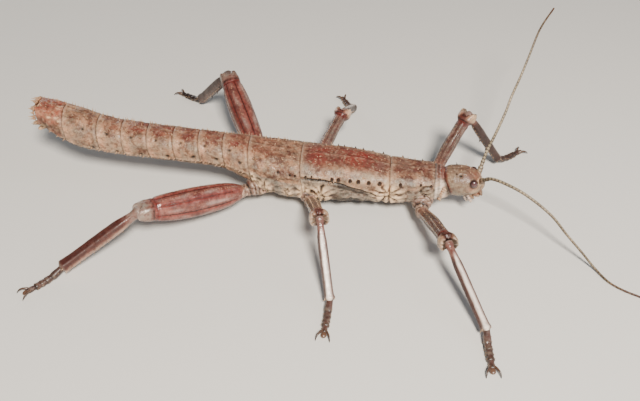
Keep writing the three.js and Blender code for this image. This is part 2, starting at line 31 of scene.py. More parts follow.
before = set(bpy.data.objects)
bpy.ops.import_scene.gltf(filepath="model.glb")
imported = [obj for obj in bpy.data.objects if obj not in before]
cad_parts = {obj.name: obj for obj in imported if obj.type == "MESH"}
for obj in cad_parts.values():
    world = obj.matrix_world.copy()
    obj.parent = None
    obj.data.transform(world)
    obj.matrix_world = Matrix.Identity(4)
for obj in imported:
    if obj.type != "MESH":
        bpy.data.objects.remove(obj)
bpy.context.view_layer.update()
mm = 0.001
stanceCentre = Vector((5.63, -0.58, 0.0))   # the frame's origin, seen from the body's own zero
floorGap = 0.015                            # how far feet and feelers stay above the floor
roundStretch = 5.0                          # mm round the body for each radian
dice = random.Random(7)

trunk = np.array([   # x, y, z, wide, up, down, squareness of the section
    (-73.0, 3.2, 20.2, 3.5, 3.1, 3.1, 2.5),
    (-69.0, 2.6, 19.4, 4.3, 3.8, 3.8, 2.4),
    (-64.8, 2.0, 18.0, 5.1, 4.5, 4.5, 2.3),
    (-60.0, 1.4, 16.8, 5.4, 4.7, 4.7, 2.3),
    (-55.5, 1.0, 16.1, 5.1, 4.4, 4.4, 2.3),
    (-49.1, 0.6, 15.5, 4.9, 4.3, 4.3, 2.3),
    (-35.2, 0.1, 15.1, 4.8, 4.1, 4.1, 2.3),
    (-21.5, 0.0, 14.3, 4.8, 4.2, 4.2, 2.4),
    (-14.5, 0.0, 12.9, 5.9, 4.6, 5.3, 2.7),
    (-8.0, 0.0, 11.3, 7.0, 5.2, 6.4, 3.0),
    (0.0, 0.0, 10.4, 7.3, 5.4, 6.8, 3.1),
    (12.0, 0.0, 10.2, 7.0, 5.1, 6.6, 3.1),
    (23.0, 0.0, 10.0, 6.1, 4.0, 5.8, 3.0),
    (31.0, 0.0, 10.2, 5.4, 3.5, 5.1, 2.8),
    (37.2, 0.0, 10.4, 4.3, 3.2, 4.2, 2.5),
])

view = {
    "azimuth": 8.34, "elevation": 40.55, "roll": -0.386,   # degrees
    "distance": 204.97, "aim": (4.24, -0.41, 0.0),         # mm, from the body's own zero
    "lens": 42.32, "sensor": 36.0,                         # mm, for an image 640 pixels wide
    "near": 0.01, "far": 20.0,                             # m
}


def toFrame(point):
    return (Vector(point) - stanceCentre) * mm


def makeCamera():
    azimuth, elevation = math.radians(view["azimuth"]), math.radians(view["elevation"])
    back = Vector((math.sin(azimuth) * math.cos(elevation), -math.cos(azimuth) * math.cos(elevation),
                   math.sin(elevation)))
    right = Vector((math.cos(azimuth), math.sin(azimuth), 0.0))
    up = back.cross(right)
    roll = Matrix.Rotation(math.radians(view["roll"]), 3, back)
    turn = Matrix((roll @ right, roll @ up, back)).transposed()
    data = bpy.data.cameras.new("camera")
    data.lens, data.sensor_width = view["lens"], view["sensor"]
    data.clip_start, data.clip_end = view["near"], view["far"]
    camera = bpy.data.objects.new("camera", data)
    bpy.context.scene.collection.objects.link(camera)
    place = toFrame(view["aim"]) + back * view["distance"] * mm
    camera.matrix_world = Matrix.Translation(place) @ turn.to_4x4()
    bpy.context.scene.camera = camera


def linear(hexColour):
    parts = [int(hexColour[i:i + 2], 16) / 255 for i in (1, 3, 5)]
    return tuple(c / 12.92 if c <= 0.04045 else ((c + 0.055) / 1.055) ** 2.4 for c in parts) + (1.0,)


def addNode(tree, kind, inputs=None, **settings):
    made = tree.nodes.new(kind)
    for key, value in settings.items():
        setattr(made, key, value)
    for key, value in (inputs or {}).items():
        if isinstance(value, bpy.types.NodeSocket):
            tree.links.new(value, made.inputs[key])
        else:
            made.inputs[key].default_value = value
    return made


def newMaterial(name, flat):   # flat holds what is the same all over the surface
    material = bpy.data.materials.new(name)
    material.use_nodes = True
    shader = material.node_tree.nodes["Principled BSDF"]
    for key, value in flat.items():
        shader.inputs[key].default_value = value
    return material, material.node_tree, shader


studio = {
    "floor": "#d9d7d2", "floorRoughness": 0.75, "floorSize": 6.0, "floorDrop": 0.05,   # size in m, drop in mm
    "world": "#dfe3e8", "worldStrength": 0.17,
    "key": {"place": (0.12, -0.33, 0.39), "size": 0.10, "power": 6.0, "colour": "#fff6ea"},
    "fill": {"place": (0.42, -0.10, 0.30), "size": 0.40, "power": 0.5, "colour": "#eef3ff"},
    "back": {"place": (-0.35, 0.42, 0.13), "size": 0.25, "power": 0.6, "colour": "#ffffff"},
}


def makeStudio():
    world = bpy.data.worlds.new("softRoom")
    world.use_nodes = True
    ground = world.node_tree.nodes["Background"]
    ground.inputs["Color"].default_value = linear(studio["world"])
    ground.inputs["Strength"].default_value = studio["worldStrength"]
    bpy.context.scene.world = world
    for name in ("key", "fill", "back"):
        lamp = studio[name]
        data = bpy.data.lights.new(name, "AREA")
        data.shape, data.size, data.energy = "DISK", lamp["size"], lamp["power"]
        data.color = linear(lamp["colour"])[:3]
        light = bpy.data.objects.new(name, data)
        bpy.context.scene.collection.objects.link(light)
        light.location = lamp["place"]
        light.rotation_euler = (-Vector(lamp["place"])).to_track_quat("-Z", "Y").to_euler()
    bpy.ops.mesh.primitive_plane_add(size=studio["floorSize"], location=(0, 0, -studio["floorDrop"] * mm))
    floor = bpy.context.object
    floor.name = "floor"
    # matt painted board, nearly white
    material, *_ = newMaterial("paleFloorPaint", {"Base Color": linear(studio["floor"]),
                                                  "Roughness": studio["floorRoughness"]})
    floor.data.materials.append(material)


def step(value, low, high):   # 0 below low, 1 above high, smooth between
    t = np.clip((value - low) / (high - low), 0.0, 1.0)
    return t * t * (3 - 2 * t)


def bell(value, centre, width):
    return np.exp(-((value - centre) / width) ** 2)


def grain(points, size, seed=0.0):   # smooth noise from -1 to 1, with lumps of about this size
    shift = Vector((seed, seed * 0.7, -seed))
    return np.array([noise.noise(Vector(p) / size + shift) for p in points])


def cloud(points, size, seed):   # the same noise from 0 to 1
    return 0.5 + 0.5 * grain(points, size, seed)


def streaks(x, angle, stretch, turns):   # the same again, drawn out along a limb
    return cloud(np.stack([x * stretch, angle * turns, angle * 0], axis=1), 1.0, 16.0)


def wrinkles(flat, size, height, seed):
    return height * grain(flat, size, seed) + 0.4 * height * grain(flat, size * 0.4, seed + 3)


def wrinkled(size, height, seed):   # the detail of a limb that has nothing but wrinkles
    return lambda x, angle, flat: wrinkles(flat, size, height, seed)


def creased(flat, size, seed=33.0):   # 1 along thin wandering creases that run mostly lengthwise
    return bell(grain(flat * (0.45, 1, 1), size, seed), 0.0, 0.05)


def bunched(along, amount):   # 0 to 1, with the rows of a grid closer together at both ends
    return along - amount * np.sin(2 * math.pi * along) / (2 * math.pi)


def domed(x, first, last, startDome, endDome):   # 0 at each end, rounding up to 1 within its dome
    a = np.clip((x - first) / startDome, 0, 1)
    b = np.clip((last - x) / endDome, 0, 1)
    return np.sqrt(np.clip(1 - (1 - a) ** 2, 0, 1)) * np.sqrt(np.clip(1 - (1 - b) ** 2, 0, 1))


def stationValues(table, x):   # every column of the table at x, on a smooth curve through its rows
    xs = table[:, 0]
    i = np.clip(np.searchsorted(xs, x) - 1, 0, len(xs) - 2)
    before, after = np.maximum(i - 1, 0), np.minimum(i + 2, len(xs) - 1)
    span = (xs[i + 1] - xs[i])[:, None]
    t = np.clip((x - xs[i])[:, None] / span, 0, 1)
    leaving = (table[i + 1] - table[before]) / (xs[i + 1] - xs[before])[:, None] * span
    arriving = (table[after] - table[i]) / (xs[after] - xs[i])[:, None] * span
    return ((2 * t ** 3 - 3 * t ** 2 + 1) * table[i] + (t ** 3 - 2 * t ** 2 + t) * leaving
            + (3 * t ** 2 - 2 * t ** 3) * table[i + 1] + (t ** 3 - t ** 2) * arriving)


def sectionReach(angle, square):   # how far a rounded box section reaches, where an ellipse has 1
    return (np.abs(np.sin(angle)) ** square + np.abs(np.cos(angle)) ** square) ** (-1 / square)


def bodyPoint(table, x, angle, proud=0.0, scale=1.0):   # angle is 0 on the back, positive to the left
    y, z, wide, up, down, square = stationValues(table, x)[:, 1:].T
    reach = sectionReach(angle, square) * scale
    tall = np.where(np.cos(angle) > 0, up, down)
    return np.stack([x, y + np.sin(angle) * reach * (wide + proud),
                     z + np.cos(angle) * reach * (tall + proud)], axis=1)


def onBody(table, x, angle, proud=0.0):   # one point of the trunk or head, and the way out of it
    spot = bodyPoint(table, np.array([x, x + 0.2, x]), np.array([angle, angle, angle + 0.03]), proud)
    out = Vector(spot[1] - spot[0]).cross(Vector(spot[2] - spot[0])).normalized()
    middle = bodyPoint(table, np.array([x]), np.array([angle]), 0.0, 0.0)[0]
    if out.dot(Vector(spot[0] - middle)) < 0:
        out = -out
    return Vector(spot[0]), out


def readVectors(mesh, field):   # one row for each vertex
    values = np.empty(len(mesh.vertices) * 3)
    mesh.vertices.foreach_get(field, values)
    return values.reshape(-1, 3)


def writeMask(mesh, name, amount):
    values = mesh.attributes.new(name, "FLOAT", "POINT")
    amount = np.broadcast_to(np.asarray(amount, float), (len(mesh.vertices),))
    values.data.foreach_set("value", np.clip(amount, 0, 1).astype(np.float32))


def ballGrid(name, rows, around):
    bpy.ops.object.select_all(action="DESELECT")
    bpy.ops.mesh.primitive_uv_sphere_add(segments=around, ring_count=rows, radius=1.0)
    ball = bpy.context.object
    ball.name = name
    spots = readVectors(ball.data, "co")
    row = np.round(np.arccos(np.clip(-spots[:, 2], -1, 1)) / math.pi * rows)
    shut = (row == 0) | (row == rows)                       # the poles close the two ends
    along = np.clip((row - 1) / (rows - 2), 0, 1)
    angle = np.where(shut, 0.0, np.arctan2(spots[:, 1], spots[:, 0]))
    return ball, along, angle, shut


def smoothOut(piece):   # every face points outwards
    bpy.context.view_layer.objects.active = piece
    bpy.ops.object.mode_set(mode="EDIT")
    bpy.ops.mesh.select_all(action="SELECT")
    bpy.ops.mesh.normals_make_consistent(inside=False)
    bpy.ops.object.mode_set(mode="OBJECT")
    bpy.ops.object.shade_smooth()


masks = ("cream", "crimson", "mauve", "dark", "grey", "salmon", "ridge", "tip")


def finishShape(ball, points, paint, material):   # points in mm, paint an amount from 0 to 1 for each mask
    ball.data.vertices.foreach_set("co", ((points - np.array(stanceCentre)) * mm).ravel())
    for name in masks:
        writeMask(ball.data, name, paint.get(name, 0.0))
    ball.data.materials.append(materials[material])
    smoothOut(ball)
    return ball


relief = {"spread": 2, "hollow": (0.012, 0.05), "crest": (0.02, 0.06)}   # from how many mm, and over how many


def markRelief(piece):   # "hollow" where the surface dips, for painted shade, and "crest" where it bulges, for rubbed wear and a painted highlight
    mesh = piece.data
    spots, normals = readVectors(mesh, "co") / mm, readVectors(mesh, "normal")
    edges = np.empty(len(mesh.edges) * 2, dtype=np.int64)
    mesh.edges.foreach_get("vertices", edges)
    first, second = edges.reshape(-1, 2).T

    def around(values):   # the mean over each vertex's neighbours
        total, hits = np.zeros_like(values), np.zeros(len(mesh.vertices))
        for here, there in ((first, second), (second, first)):
            np.add.at(total, here, values[there])
            np.add.at(hits, here, 1)
        return total / (hits[:, None] if values.ndim == 2 else hits)

    soft = spots
    for _ in range(relief["spread"]):
        soft = around(soft)
    dip = around(((soft - spots) * normals).sum(axis=1))
    for name, way in (("hollow", 1), ("crest", -1)):
        least, over = relief[name]
        writeMask(mesh, name, (way * dip - least) / over)


def selectOnly(pieces):
    bpy.ops.object.select_all(action="DESELECT")
    for piece in pieces:
        piece.select_set(True)
    bpy.context.view_layer.objects.active = pieces[0]


def joinPieces(pieces, name):
    selectOnly(pieces)
    bpy.ops.object.join()
    whole = bpy.context.object
    whole.name = whole.data.name = name
    return whole


def triangles(piece):
    return sum(len(p.vertices) - 2 for p in piece.data.polygons)


def thinned(piece, most):   # fewer triangles where the surface is smooth
    selectOnly([piece])
    fewer = piece.modifiers.new("fewer", "DECIMATE")
    fewer.ratio = min(most / triangles(piece), 1.0)
    bpy.ops.object.modifier_apply(modifier="fewer")
    bpy.ops.object.shade_smooth()
    return piece


def wear(piece, slot, *nodes):   # every piece is part of the one still body
    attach(piece, "root")
    if nodes:
        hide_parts(*nodes)


chitinIor = 1.56
hues = {   # what each mask turns the cuticle to
    "cream": "#efcba2", "crimson": "#78201a", "mauve": "#5f3630", "dark": "#170d08", "grey": "#797166",
    "salmon": "#cc7456",
}
stains = {"mauve": 0.85, "grey": 0.95, "crimson": 0.95, "salmon": 0.8, "cream": 0.9}   # how well each covers
cuticles = {
    "matteBodyCuticle": {   # chitin with a dull waxy bloom, dry and finely pitted
        "pale": "#aa8062", "deep": "#4b2a1f", "fleck": "#dcc2a4", "tint": "#80735c",
        "roughness": 0.44, "pit": 0.9, "speckle": 0.2, "shine": 0.32,
    },
    "smoothHeadCuticle": {   # chitin polished by wear, with a low sheen
        "pale": "#957b5d", "deep": "#5f4434", "fleck": "#cdb89e", "tint": "#7f7558",
        "roughness": 0.36, "pit": 0.5, "speckle": 0.2, "shine": 0.4,
    },
    "glossyLegCuticle": {   # hard thick chitin, grooved lengthwise, with a varnish-like gloss
        # its near-white fleck paints the highlight along the shins and part of the paleness of the thigh
        # ridges
        "pale": "#985f54", "deep": "#582a26", "fleck": "#fff2e6", "tint": "#87584c",
        "roughness": 0.21, "pit": 0.4, "speckle": 0.04, "shine": 0.42,
    },
    "fineFeelerCuticle": {   # thin ringed chitin, silky
        "pale": "#8f7e66", "deep": "#4c3b2e", "fleck": "#dccbaa", "tint": "#7d7656",
        "roughness": 0.36, "pit": 0.2, "speckle": 0.15, "shine": 0.4,
    },
    "softJointMembrane": {   # thin folded skin at the hips and knees, pale and slightly moist
        "pale": "#ad7f66", "deep": "#553024", "fleck": "#f7e6d6", "tint": "#86735f",
        "roughness": 0.34, "pit": 0.6, "speckle": 0.2, "shine": 0.4,
    },
}
lumps = {   # noise in the cuticle: lump size in mm, detail, and the part of its range that goes from 0 to 1
    "mottle": (2.6, 5.0, 0.42, 0.62), "speckle": (0.75, 3.0, 0.54, 0.64), "breakUp": (1.2, 3.0, 0.28, 0.60),
    "grime": (0.95, 4.0, 0.51, 0.59), "tint": (1.8, 3.0, 0.5, 0.6),
}
pits = {"size": 0.32, "depth": 0.12}   # mm, coarser than the real ones so that they show


def makeCuticle(name):
    look = cuticles[name]
    material, tree, shader = newMaterial(name, {"IOR": chitinIor, "Specular IOR Level": look["shine"]})
    place = addNode(tree, "ShaderNodeTexCoord").outputs["Object"]
    field = {}
    for pattern, (size, detail, low, high) in lumps.items():
        cloudy = addNode(tree, "ShaderNodeTexNoise",
                         {"Vector": place, "Scale": 1 / (size * mm), "Detail": detail, "Roughness": 0.6})
        spread = addNode(tree, "ShaderNodeMapRange",
                         {"Value": cloudy.outputs["Fac"], "From Min": low, "From Max": high})
        field[pattern] = spread.outputs["Result"]
    for mask in (*stains, "ridge", "crest", "hollow", "dark"):
        field[mask] = addNode(tree, "ShaderNodeAttribute", attribute_name=mask).outputs["Fac"]

    layers = [("tint", 0.5, look["tint"])]   # what is laid over what: where, how strongly, and its colour
    for stain, share in stains.items():
        broken = addNode(tree, "ShaderNodeMapRange",
                         {"Value": field["breakUp"], "To Min": 0.55 * share, "To Max": share})
        layers.append((stain, broken.outputs["Result"], hues[stain]))
    clean = addNode(tree, "ShaderNodeMapRange", {"Value": field["cream"], "To Min": 0.6, "To Max": 0.15})
    # hollow lays painted shade into dips, and crest lays a paler rub with a painted highlight onto bulges
    layers += [("grime", clean.outputs["Result"], look["deep"]), ("speckle", look["speckle"], look["fleck"]),
               ("ridge", 0.9, look["fleck"]), ("crest", 0.22, look["fleck"]),
               ("hollow", 0.85, hues["dark"]), ("dark", 0.96, hues["dark"])]
    colour = addNode(tree, "ShaderNodeMix",
                     {0: field["mottle"], 6: linear(look["pale"]), 7: linear(look["deep"])},
                     data_type="RGBA").outputs[2]
    for where, share, hexColour in layers:
        amount = addNode(tree, "ShaderNodeMath", {0: field[where], 1: share}, operation="MULTIPLY")
        colour = addNode(tree, "ShaderNodeMix", {0: amount.outputs[0], 6: colour, 7: linear(hexColour)},
                         data_type="RGBA").outputs[2]
    tree.links.new(colour, shader.inputs["Base Color"])

    gloss = addNode(tree, "ShaderNodeMapRange", {"Value": field["mottle"], "To Min": look["roughness"] - 0.06,
                                                 "To Max": look["roughness"] + 0.12}).outputs["Result"]
    for mask, more in (("grey", -0.14), ("dark", 0.15)):   # bare grey plates shine; where dark is painted, real dark marks and painted shade alike, the surface is duller
        gloss = addNode(tree, "ShaderNodeMath", {0: field[mask], 1: more, 2: gloss},
                        operation="MULTIPLY_ADD").outputs[0]
    tree.links.new(gloss, shader.inputs["Roughness"])
    pitted = addNode(tree, "ShaderNodeTexVoronoi", {"Vector": place, "Scale": 1 / (pits["size"] * mm)},
                     feature="SMOOTH_F1")
    height = addNode(tree, "ShaderNodeMath", {0: pitted.outputs["Distance"], 1: field["mottle"]},
                     operation="ADD")
    bump = addNode(tree, "ShaderNodeBump",
                   {"Height": height.outputs[0], "Strength": look["pit"], "Distance": pits["depth"] * mm})
    tree.links.new(bump.outputs["Normal"], shader.inputs["Normal"])
    return material


horns = {   # the solid horn-like chitin of spines and claws: colour, colour of the tip, roughness
    "darkThornHorn": ("#3c2a20", "#150d09", 0.35),
    "paleSpineHorn": ("#a07a5c", "#d2b08c", 0.45),
    "clawHorn": ("#5c4335", "#1f1410", 0.32),
}
hornStreak = {"size": 0.9, "depth": 0.06, "strength": 0.35}   # mm


def makeHorn(name):
    base, end, roughness = horns[name]
    material, tree, shader = newMaterial(name, {"Roughness": roughness, "IOR": chitinIor})
    place = addNode(tree, "ShaderNodeTexCoord").outputs["Object"]
    streak = addNode(tree, "ShaderNodeTexNoise",
                     {"Vector": place, "Scale": 1 / (hornStreak["size"] * mm), "Detail": 3.0}).outputs["Fac"]
    tip = addNode(tree, "ShaderNodeAttribute", attribute_name="tip")
    ragged = addNode(tree, "ShaderNodeMath", {0: tip.outputs["Fac"], 1: streak}, operation="MULTIPLY")
    amount = addNode(tree, "ShaderNodeMapRange", {"Value": ragged.outputs[0], "From Max": 0.55})
    colour = addNode(tree, "ShaderNodeMix", {0: amount.outputs["Result"], 6: linear(base), 7: linear(end)},
                     data_type="RGBA")
    tree.links.new(colour.outputs[2], shader.inputs["Base Color"])
    bump = addNode(tree, "ShaderNodeBump", {"Height": streak, "Strength": hornStreak["strength"],
                                            "Distance": hornStreak["depth"] * mm})
    tree.links.new(bump.outputs["Normal"], shader.inputs["Normal"])
    return material


lens = {
    "rim": "#33201f", "edge": "#1f1112", "sheenHeart": "#54393a",
    "facet": 0.13, "depth": 0.03,   # mm, coarser than the real facets so that they show
    "ior": 1.52,
}


def makeLens():   # a compound eye: many tiny facets under a clear hard skin, paler in the middle as a painted sheen
    material, tree, shader = newMaterial("compoundEyeLens", {
        "Roughness": 0.2, "IOR": lens["ior"], "Specular IOR Level": 0.5, "Coat Weight": 0.4,
        "Coat Roughness": 0.12})
    place = addNode(tree, "ShaderNodeTexCoord").outputs["Object"]
    sheenHeart = addNode(tree, "ShaderNodeAttribute", attribute_name="dark")
    facets = addNode(tree, "ShaderNodeTexVoronoi",
                     {"Vector": place, "Scale": 1 / (lens["facet"] * mm)}).outputs["Distance"]
    spread = addNode(tree, "ShaderNodeMapRange", {"Value": facets, "To Max": 0.5})
    rim = addNode(tree, "ShaderNodeMix",
                  {0: spread.outputs["Result"], 6: linear(lens["rim"]), 7: linear(lens["edge"])},
                  data_type="RGBA")
    colour = addNode(tree, "ShaderNodeMix",
                     {0: sheenHeart.outputs["Fac"], 6: rim.outputs[2], 7: linear(lens["sheenHeart"])}, data_type="RGBA")
    tree.links.new(colour.outputs[2], shader.inputs["Base Color"])
    bump = addNode(tree, "ShaderNodeBump",
                   {"Height": facets, "Strength": 0.25, "Distance": lens["depth"] * mm})
    tree.links.new(bump.outputs["Normal"], shader.inputs["Normal"])
    return material


materials = {name: makeCuticle(name) for name in cuticles}
materials.update({name: makeHorn(name) for name in horns})
materials["compoundEyeLens"] = makeLens()
print(len(materials), "materials")


# every spine is noted while its ring or leg is made, and all are built at the end
spines = {"dark": [], "pale": [], "grain": []}
spineShape = {
    "horn": {"dark": "darkThornHorn", "pale": "paleSpineHorn", "grain": "paleSpineHorn"},
    "sides": {"dark": 8, "pale": 5, "grain": 5},
    "rows": ((-0.15, 1.05), (0.0, 1.0), (0.16, 0.74), (0.42, 0.46), (0.72, 0.24), (0.94, 0.11)),   # up, wide
    "foot": 0.2,    # how deep it stands in the skin, as a share of its height
    "lean": 0.12,   # and how far its tip leans to the rear
}


def addSpine(kind, root, out, height, width):   # mm; out is the way it points
    spines[kind].append((Vector(root), Vector(out).normalized(), height, width))


def bodySpine(kind, table, x, angle, proud, lean, height, width):   # one on the trunk or head
    root, out = onBody(table, x, angle, proud)
    addSpine(kind, root, out + Vector(lean), height, width)


def makeSpines(kind):
    name, sides, rows = kind + "Spines", spineShape["sides"][kind], spineShape["rows"]
    bpy.ops.object.select_all(action="DESELECT")
    bpy.ops.mesh.primitive_cone_add(vertices=sides, radius1=1.0, depth=1.0)
    cone = bpy.context.object
    cone.name = name
    turn = np.arange(sides) * 2 * math.pi / sides
    points, faces, tips = [], [], []
    for root, out, height, width in spines[kind]:
        side = out.orthogonal().normalized()
        other = out.cross(side)
        bend = spineShape["lean"] * height
        first = len(points)
        points.append(root - out * spineShape["foot"] * height)
        tips.append(0.0)
        for up, wide in rows:
            middle = root + out * up * height + Vector((-1, 0, 0)) * bend * max(up, 0) ** 2
            for a in turn:
                points.append(middle + (side * math.cos(a) + other * math.sin(a)) * wide * width)
                tips.append(max(up, 0.0))
        points.append(root + out * height + Vector((-1, 0, 0)) * bend)
        tips.append(1.0)
        for k in range(sides):
            after = (k + 1) % sides
            faces.append((first, first + 1 + after, first + 1 + k))
            for r in range(len(rows) - 1):
                low, high = first + 1 + r * sides, first + 1 + (r + 1) * sides
                faces.append((low + k, low + after, high + after, high + k))
            last = first + 1 + (len(rows) - 1) * sides
            faces.append((last + k, last + after, len(points) - 1))
    mesh = bpy.data.meshes.new(name)
    mesh.from_pydata([(p - stanceCentre) * mm for p in points], [], faces)
    writeMask(mesh, "tip", tips)
    mesh.materials.append(materials[spineShape["horn"][kind]])
    cone.data = mesh
    smoothOut(cone)
    print(name, len(spines[kind]), "spines")
    return cone


thoraxRings = {   # front and back joint of each ring
    "prothorax": (34.6, 23.0), "mesothorax": (23.0, 0.0), "metathorax": (0.0, -14.5),
}
abdomenJoints = (-14.5, -21.5, -28.2, -35.2, -42.4, -49.1, -55.5, -64.8, -73.0)
slant = np.array([   # x, then how far forward the joints lie: all round, more on the back, more to the right
    (-73.0, 0.6, -0.35, 0.75), (-55.0, 0.75, -0.37, 0.7), (-42.0, 1.4, -0.4, 0.58), (-35.0, 1.3, -0.5, 0.53),
    (-14.5, 0.8, -0.55, 0.5), (0.0, 0.15, -0.6, 0.45), (23.0, 0.05, -0.2, 0.2), (34.6, 0.0, 0.0, 0.0),
    (36.4, 0.6, -0.95, 0.0), (40.0, 0.6, -0.95, 0.0),
])
ringShape = {
    "tuck": 1.5,          # how far a ring's front slides under the ring before it
    "sink": 0.62,         # how deep that front lies
    "lip": 0.02,          # how far its rear rim stands up
    "rim": 0.75,          # width of the rear rim
    "step": 0.34,         # row spacing along the body
    "around": 112,
    "keel": 0.10,         # fine ridge down the middle of the back
    "lump": 0.16,         # height of the slow unevenness
    "wrinkle": 0.085,
    "pimple": 0.06,
    "cup": 2.2,           # how deep the hollow end of the tail is
}
margin = {"angle": 1.08, "height": 0.2, "width": 0.08}    # the edge that divides back from side, radians


def ringProfile(length):   # distance back from the front joint, and how far the surface stands out
    tuck, sink, lip, rim = (ringShape[k] for k in ("tuck", "sink", "lip", "rim"))
    return np.array([
        (-tuck, -sink - 0.2), (-0.25, -sink), (0.12, -0.3), (0.7, -0.02), (length * 0.45, 0.05),
        (length - rim - 0.7, 0.0), (length - rim, lip * 0.55), (length - 0.12, lip),
        (length + 0.16, lip * 0.4), (length + 0.2, -0.3), (length - 0.15, -sink - 0.25),
    ])


def trunkRing(name, front, back, material, detail, paint, hollow=False):
    # detail(x, angle, fromFront, length) says how far the surface stands out, paint(...) gives the masks
    length = front - back
    profile = ringProfile(length)
    walk = np.concatenate([[0], np.cumsum(np.hypot(*np.diff(profile, axis=0).T))])
    rows = max(int(walk[-1] / ringShape["step"]), 14)
    ball, along, angle, shut = ballGrid(name, rows, ringShape["around"])
    fromFront, proud = (np.interp(along * walk[-1], walk, profile[:, k]) for k in (0, 1))
    x = front - fromFront
    x = x + sum(np.interp(x, slant[:, 0], slant[:, k + 1]) * wave
                for k, wave in enumerate((1.0, np.cos(angle), -np.sin(angle))))
    shown = step(fromFront, 0.0, 0.6) * (1 - step(fromFront, length - 0.1, length + 0.2))
    flat = bodyPoint(trunk, x, angle)
    rough = (ringShape["lump"] * grain(flat, 2.3)
             + ringShape["wrinkle"] * grain(flat * (1.0, 1.6, 1.6), 0.75, 5.0)
             + ringShape["pimple"] * grain(flat, 0.42, 6.0))
    proud = proud + shown * (rough + detail(x, angle, fromFront, length))
    points = bodyPoint(trunk, x, angle, proud, np.where(shut, 0.0, 1.0))
    if hollow:   # the tail's end is a shallow cup
        points[:, 0] += np.where(shut & (x < (front + back) / 2), ringShape["cup"], 0.0)
    return finishShape(ball, points, paint(x, angle, fromFront, length, flat), material)


def keel(angle):
    return ringShape["keel"] * bell(angle, 0.0, 0.05)


def sideDetail(angle, at, height):   # a narrow raised margin with a groove under it, on both sides
    return (height * bell(np.abs(angle), at, margin["width"])
            - 0.8 * height * bell(np.abs(angle), at + 2.6 * margin["width"], 1.3 * margin["width"]))


dimples = [(x, angle, 0.42, 0.34) for x, angle in (   # high on each side of a ring: x, angle, radius, depth
    (-12.3, 0.78), (-18.8, 0.76), (-25.4, 0.78), (-31.8, 0.79), (-38.4, 0.81), (-45.2, 0.82), (-51.8, 0.83),
    (-58.3, 0.86))]
dimples += [(x, angle, 0.58, 0.42) for x, angle in (   # and low beside its margin
    (-15.9, 1.24), (-22.3, 1.50), (-28.6, 1.62), (-35.4, 1.78), (-42.8, 1.92), (-49.4, 1.95), (-56.0, 1.96))]


def dimpleBells(x, angle, places, share=1.0):   # alike on both sides
    return [bell(np.hypot(x - px, (np.abs(angle) - pAngle) * roundStretch), 0.0, radius * share)
            for px, pAngle, radius, _ in places]


def dimpleDetail(x, angle, places):
    return -sum(place[3] * dip for place, dip in zip(places, dimpleBells(x, angle, places)))


def dimplePaint(x, angle):
    return np.maximum.reduce(dimpleBells(x, angle, dimples, 0.8))


def backPaint(x, angle, flat):   # the colours that run on from ring to ring
    drift = cloud(flat, 4.0, 9.0)
    streak = cloud(flat * (0.35, 1.0, 1.0), 1.1, 3.0)
    onBack = 1 - step(np.abs(angle), 0.18, 0.72)
    mauve = onBack * (0.35 + 0.65 * streak) * step(x, -72, -40)
    return np.clip(mauve + 0.35 * drift - 0.1, 0, 1), drift, streak


fringe = {"spines": 22, "height": (0.7, 2.0), "width": (0.3, 0.7)}   # round the open end of the tail
bristles = {"low": 6, "lowOnTail": 4, "high": 15}   # on each side of a ring of the abdomen


def bristleRing(front, back, lowMargin):
    spread = bristles["low"] if back > -64 else bristles["lowOnTail"]
    for side in (-1, 1):
        for n in range(spread):   # pale bristles along the low margin
            x = front - (n + 0.5 + dice.uniform(-0.2, 0.2)) * (front - back) / spread
            bodySpine("pale", trunk, x, side * (lowMargin + dice.uniform(-0.05, 0.05)), 0.1, (-0.3, 0, -0.25),
                      dice.uniform(0.4, 0.9), 0.22)
        for n in range(bristles["high"]):   # and finer ones on the edges of the back, longer near the tail
            x = front - (n + dice.uniform(0.0, 1.0)) * (front - back) / bristles["high"]
            angle = side * abs(dice.gauss(0.7, 0.3))
            tall = dice.uniform(0.35, 0.8) * (1.6 if -65 < x < -42 else 1.0)
            bodySpine("pale", trunk, x, angle, 0.0, (-0.15, dice.uniform(-0.2, 0.2), 0.1), tall,
                      dice.uniform(0.09, 0.18))


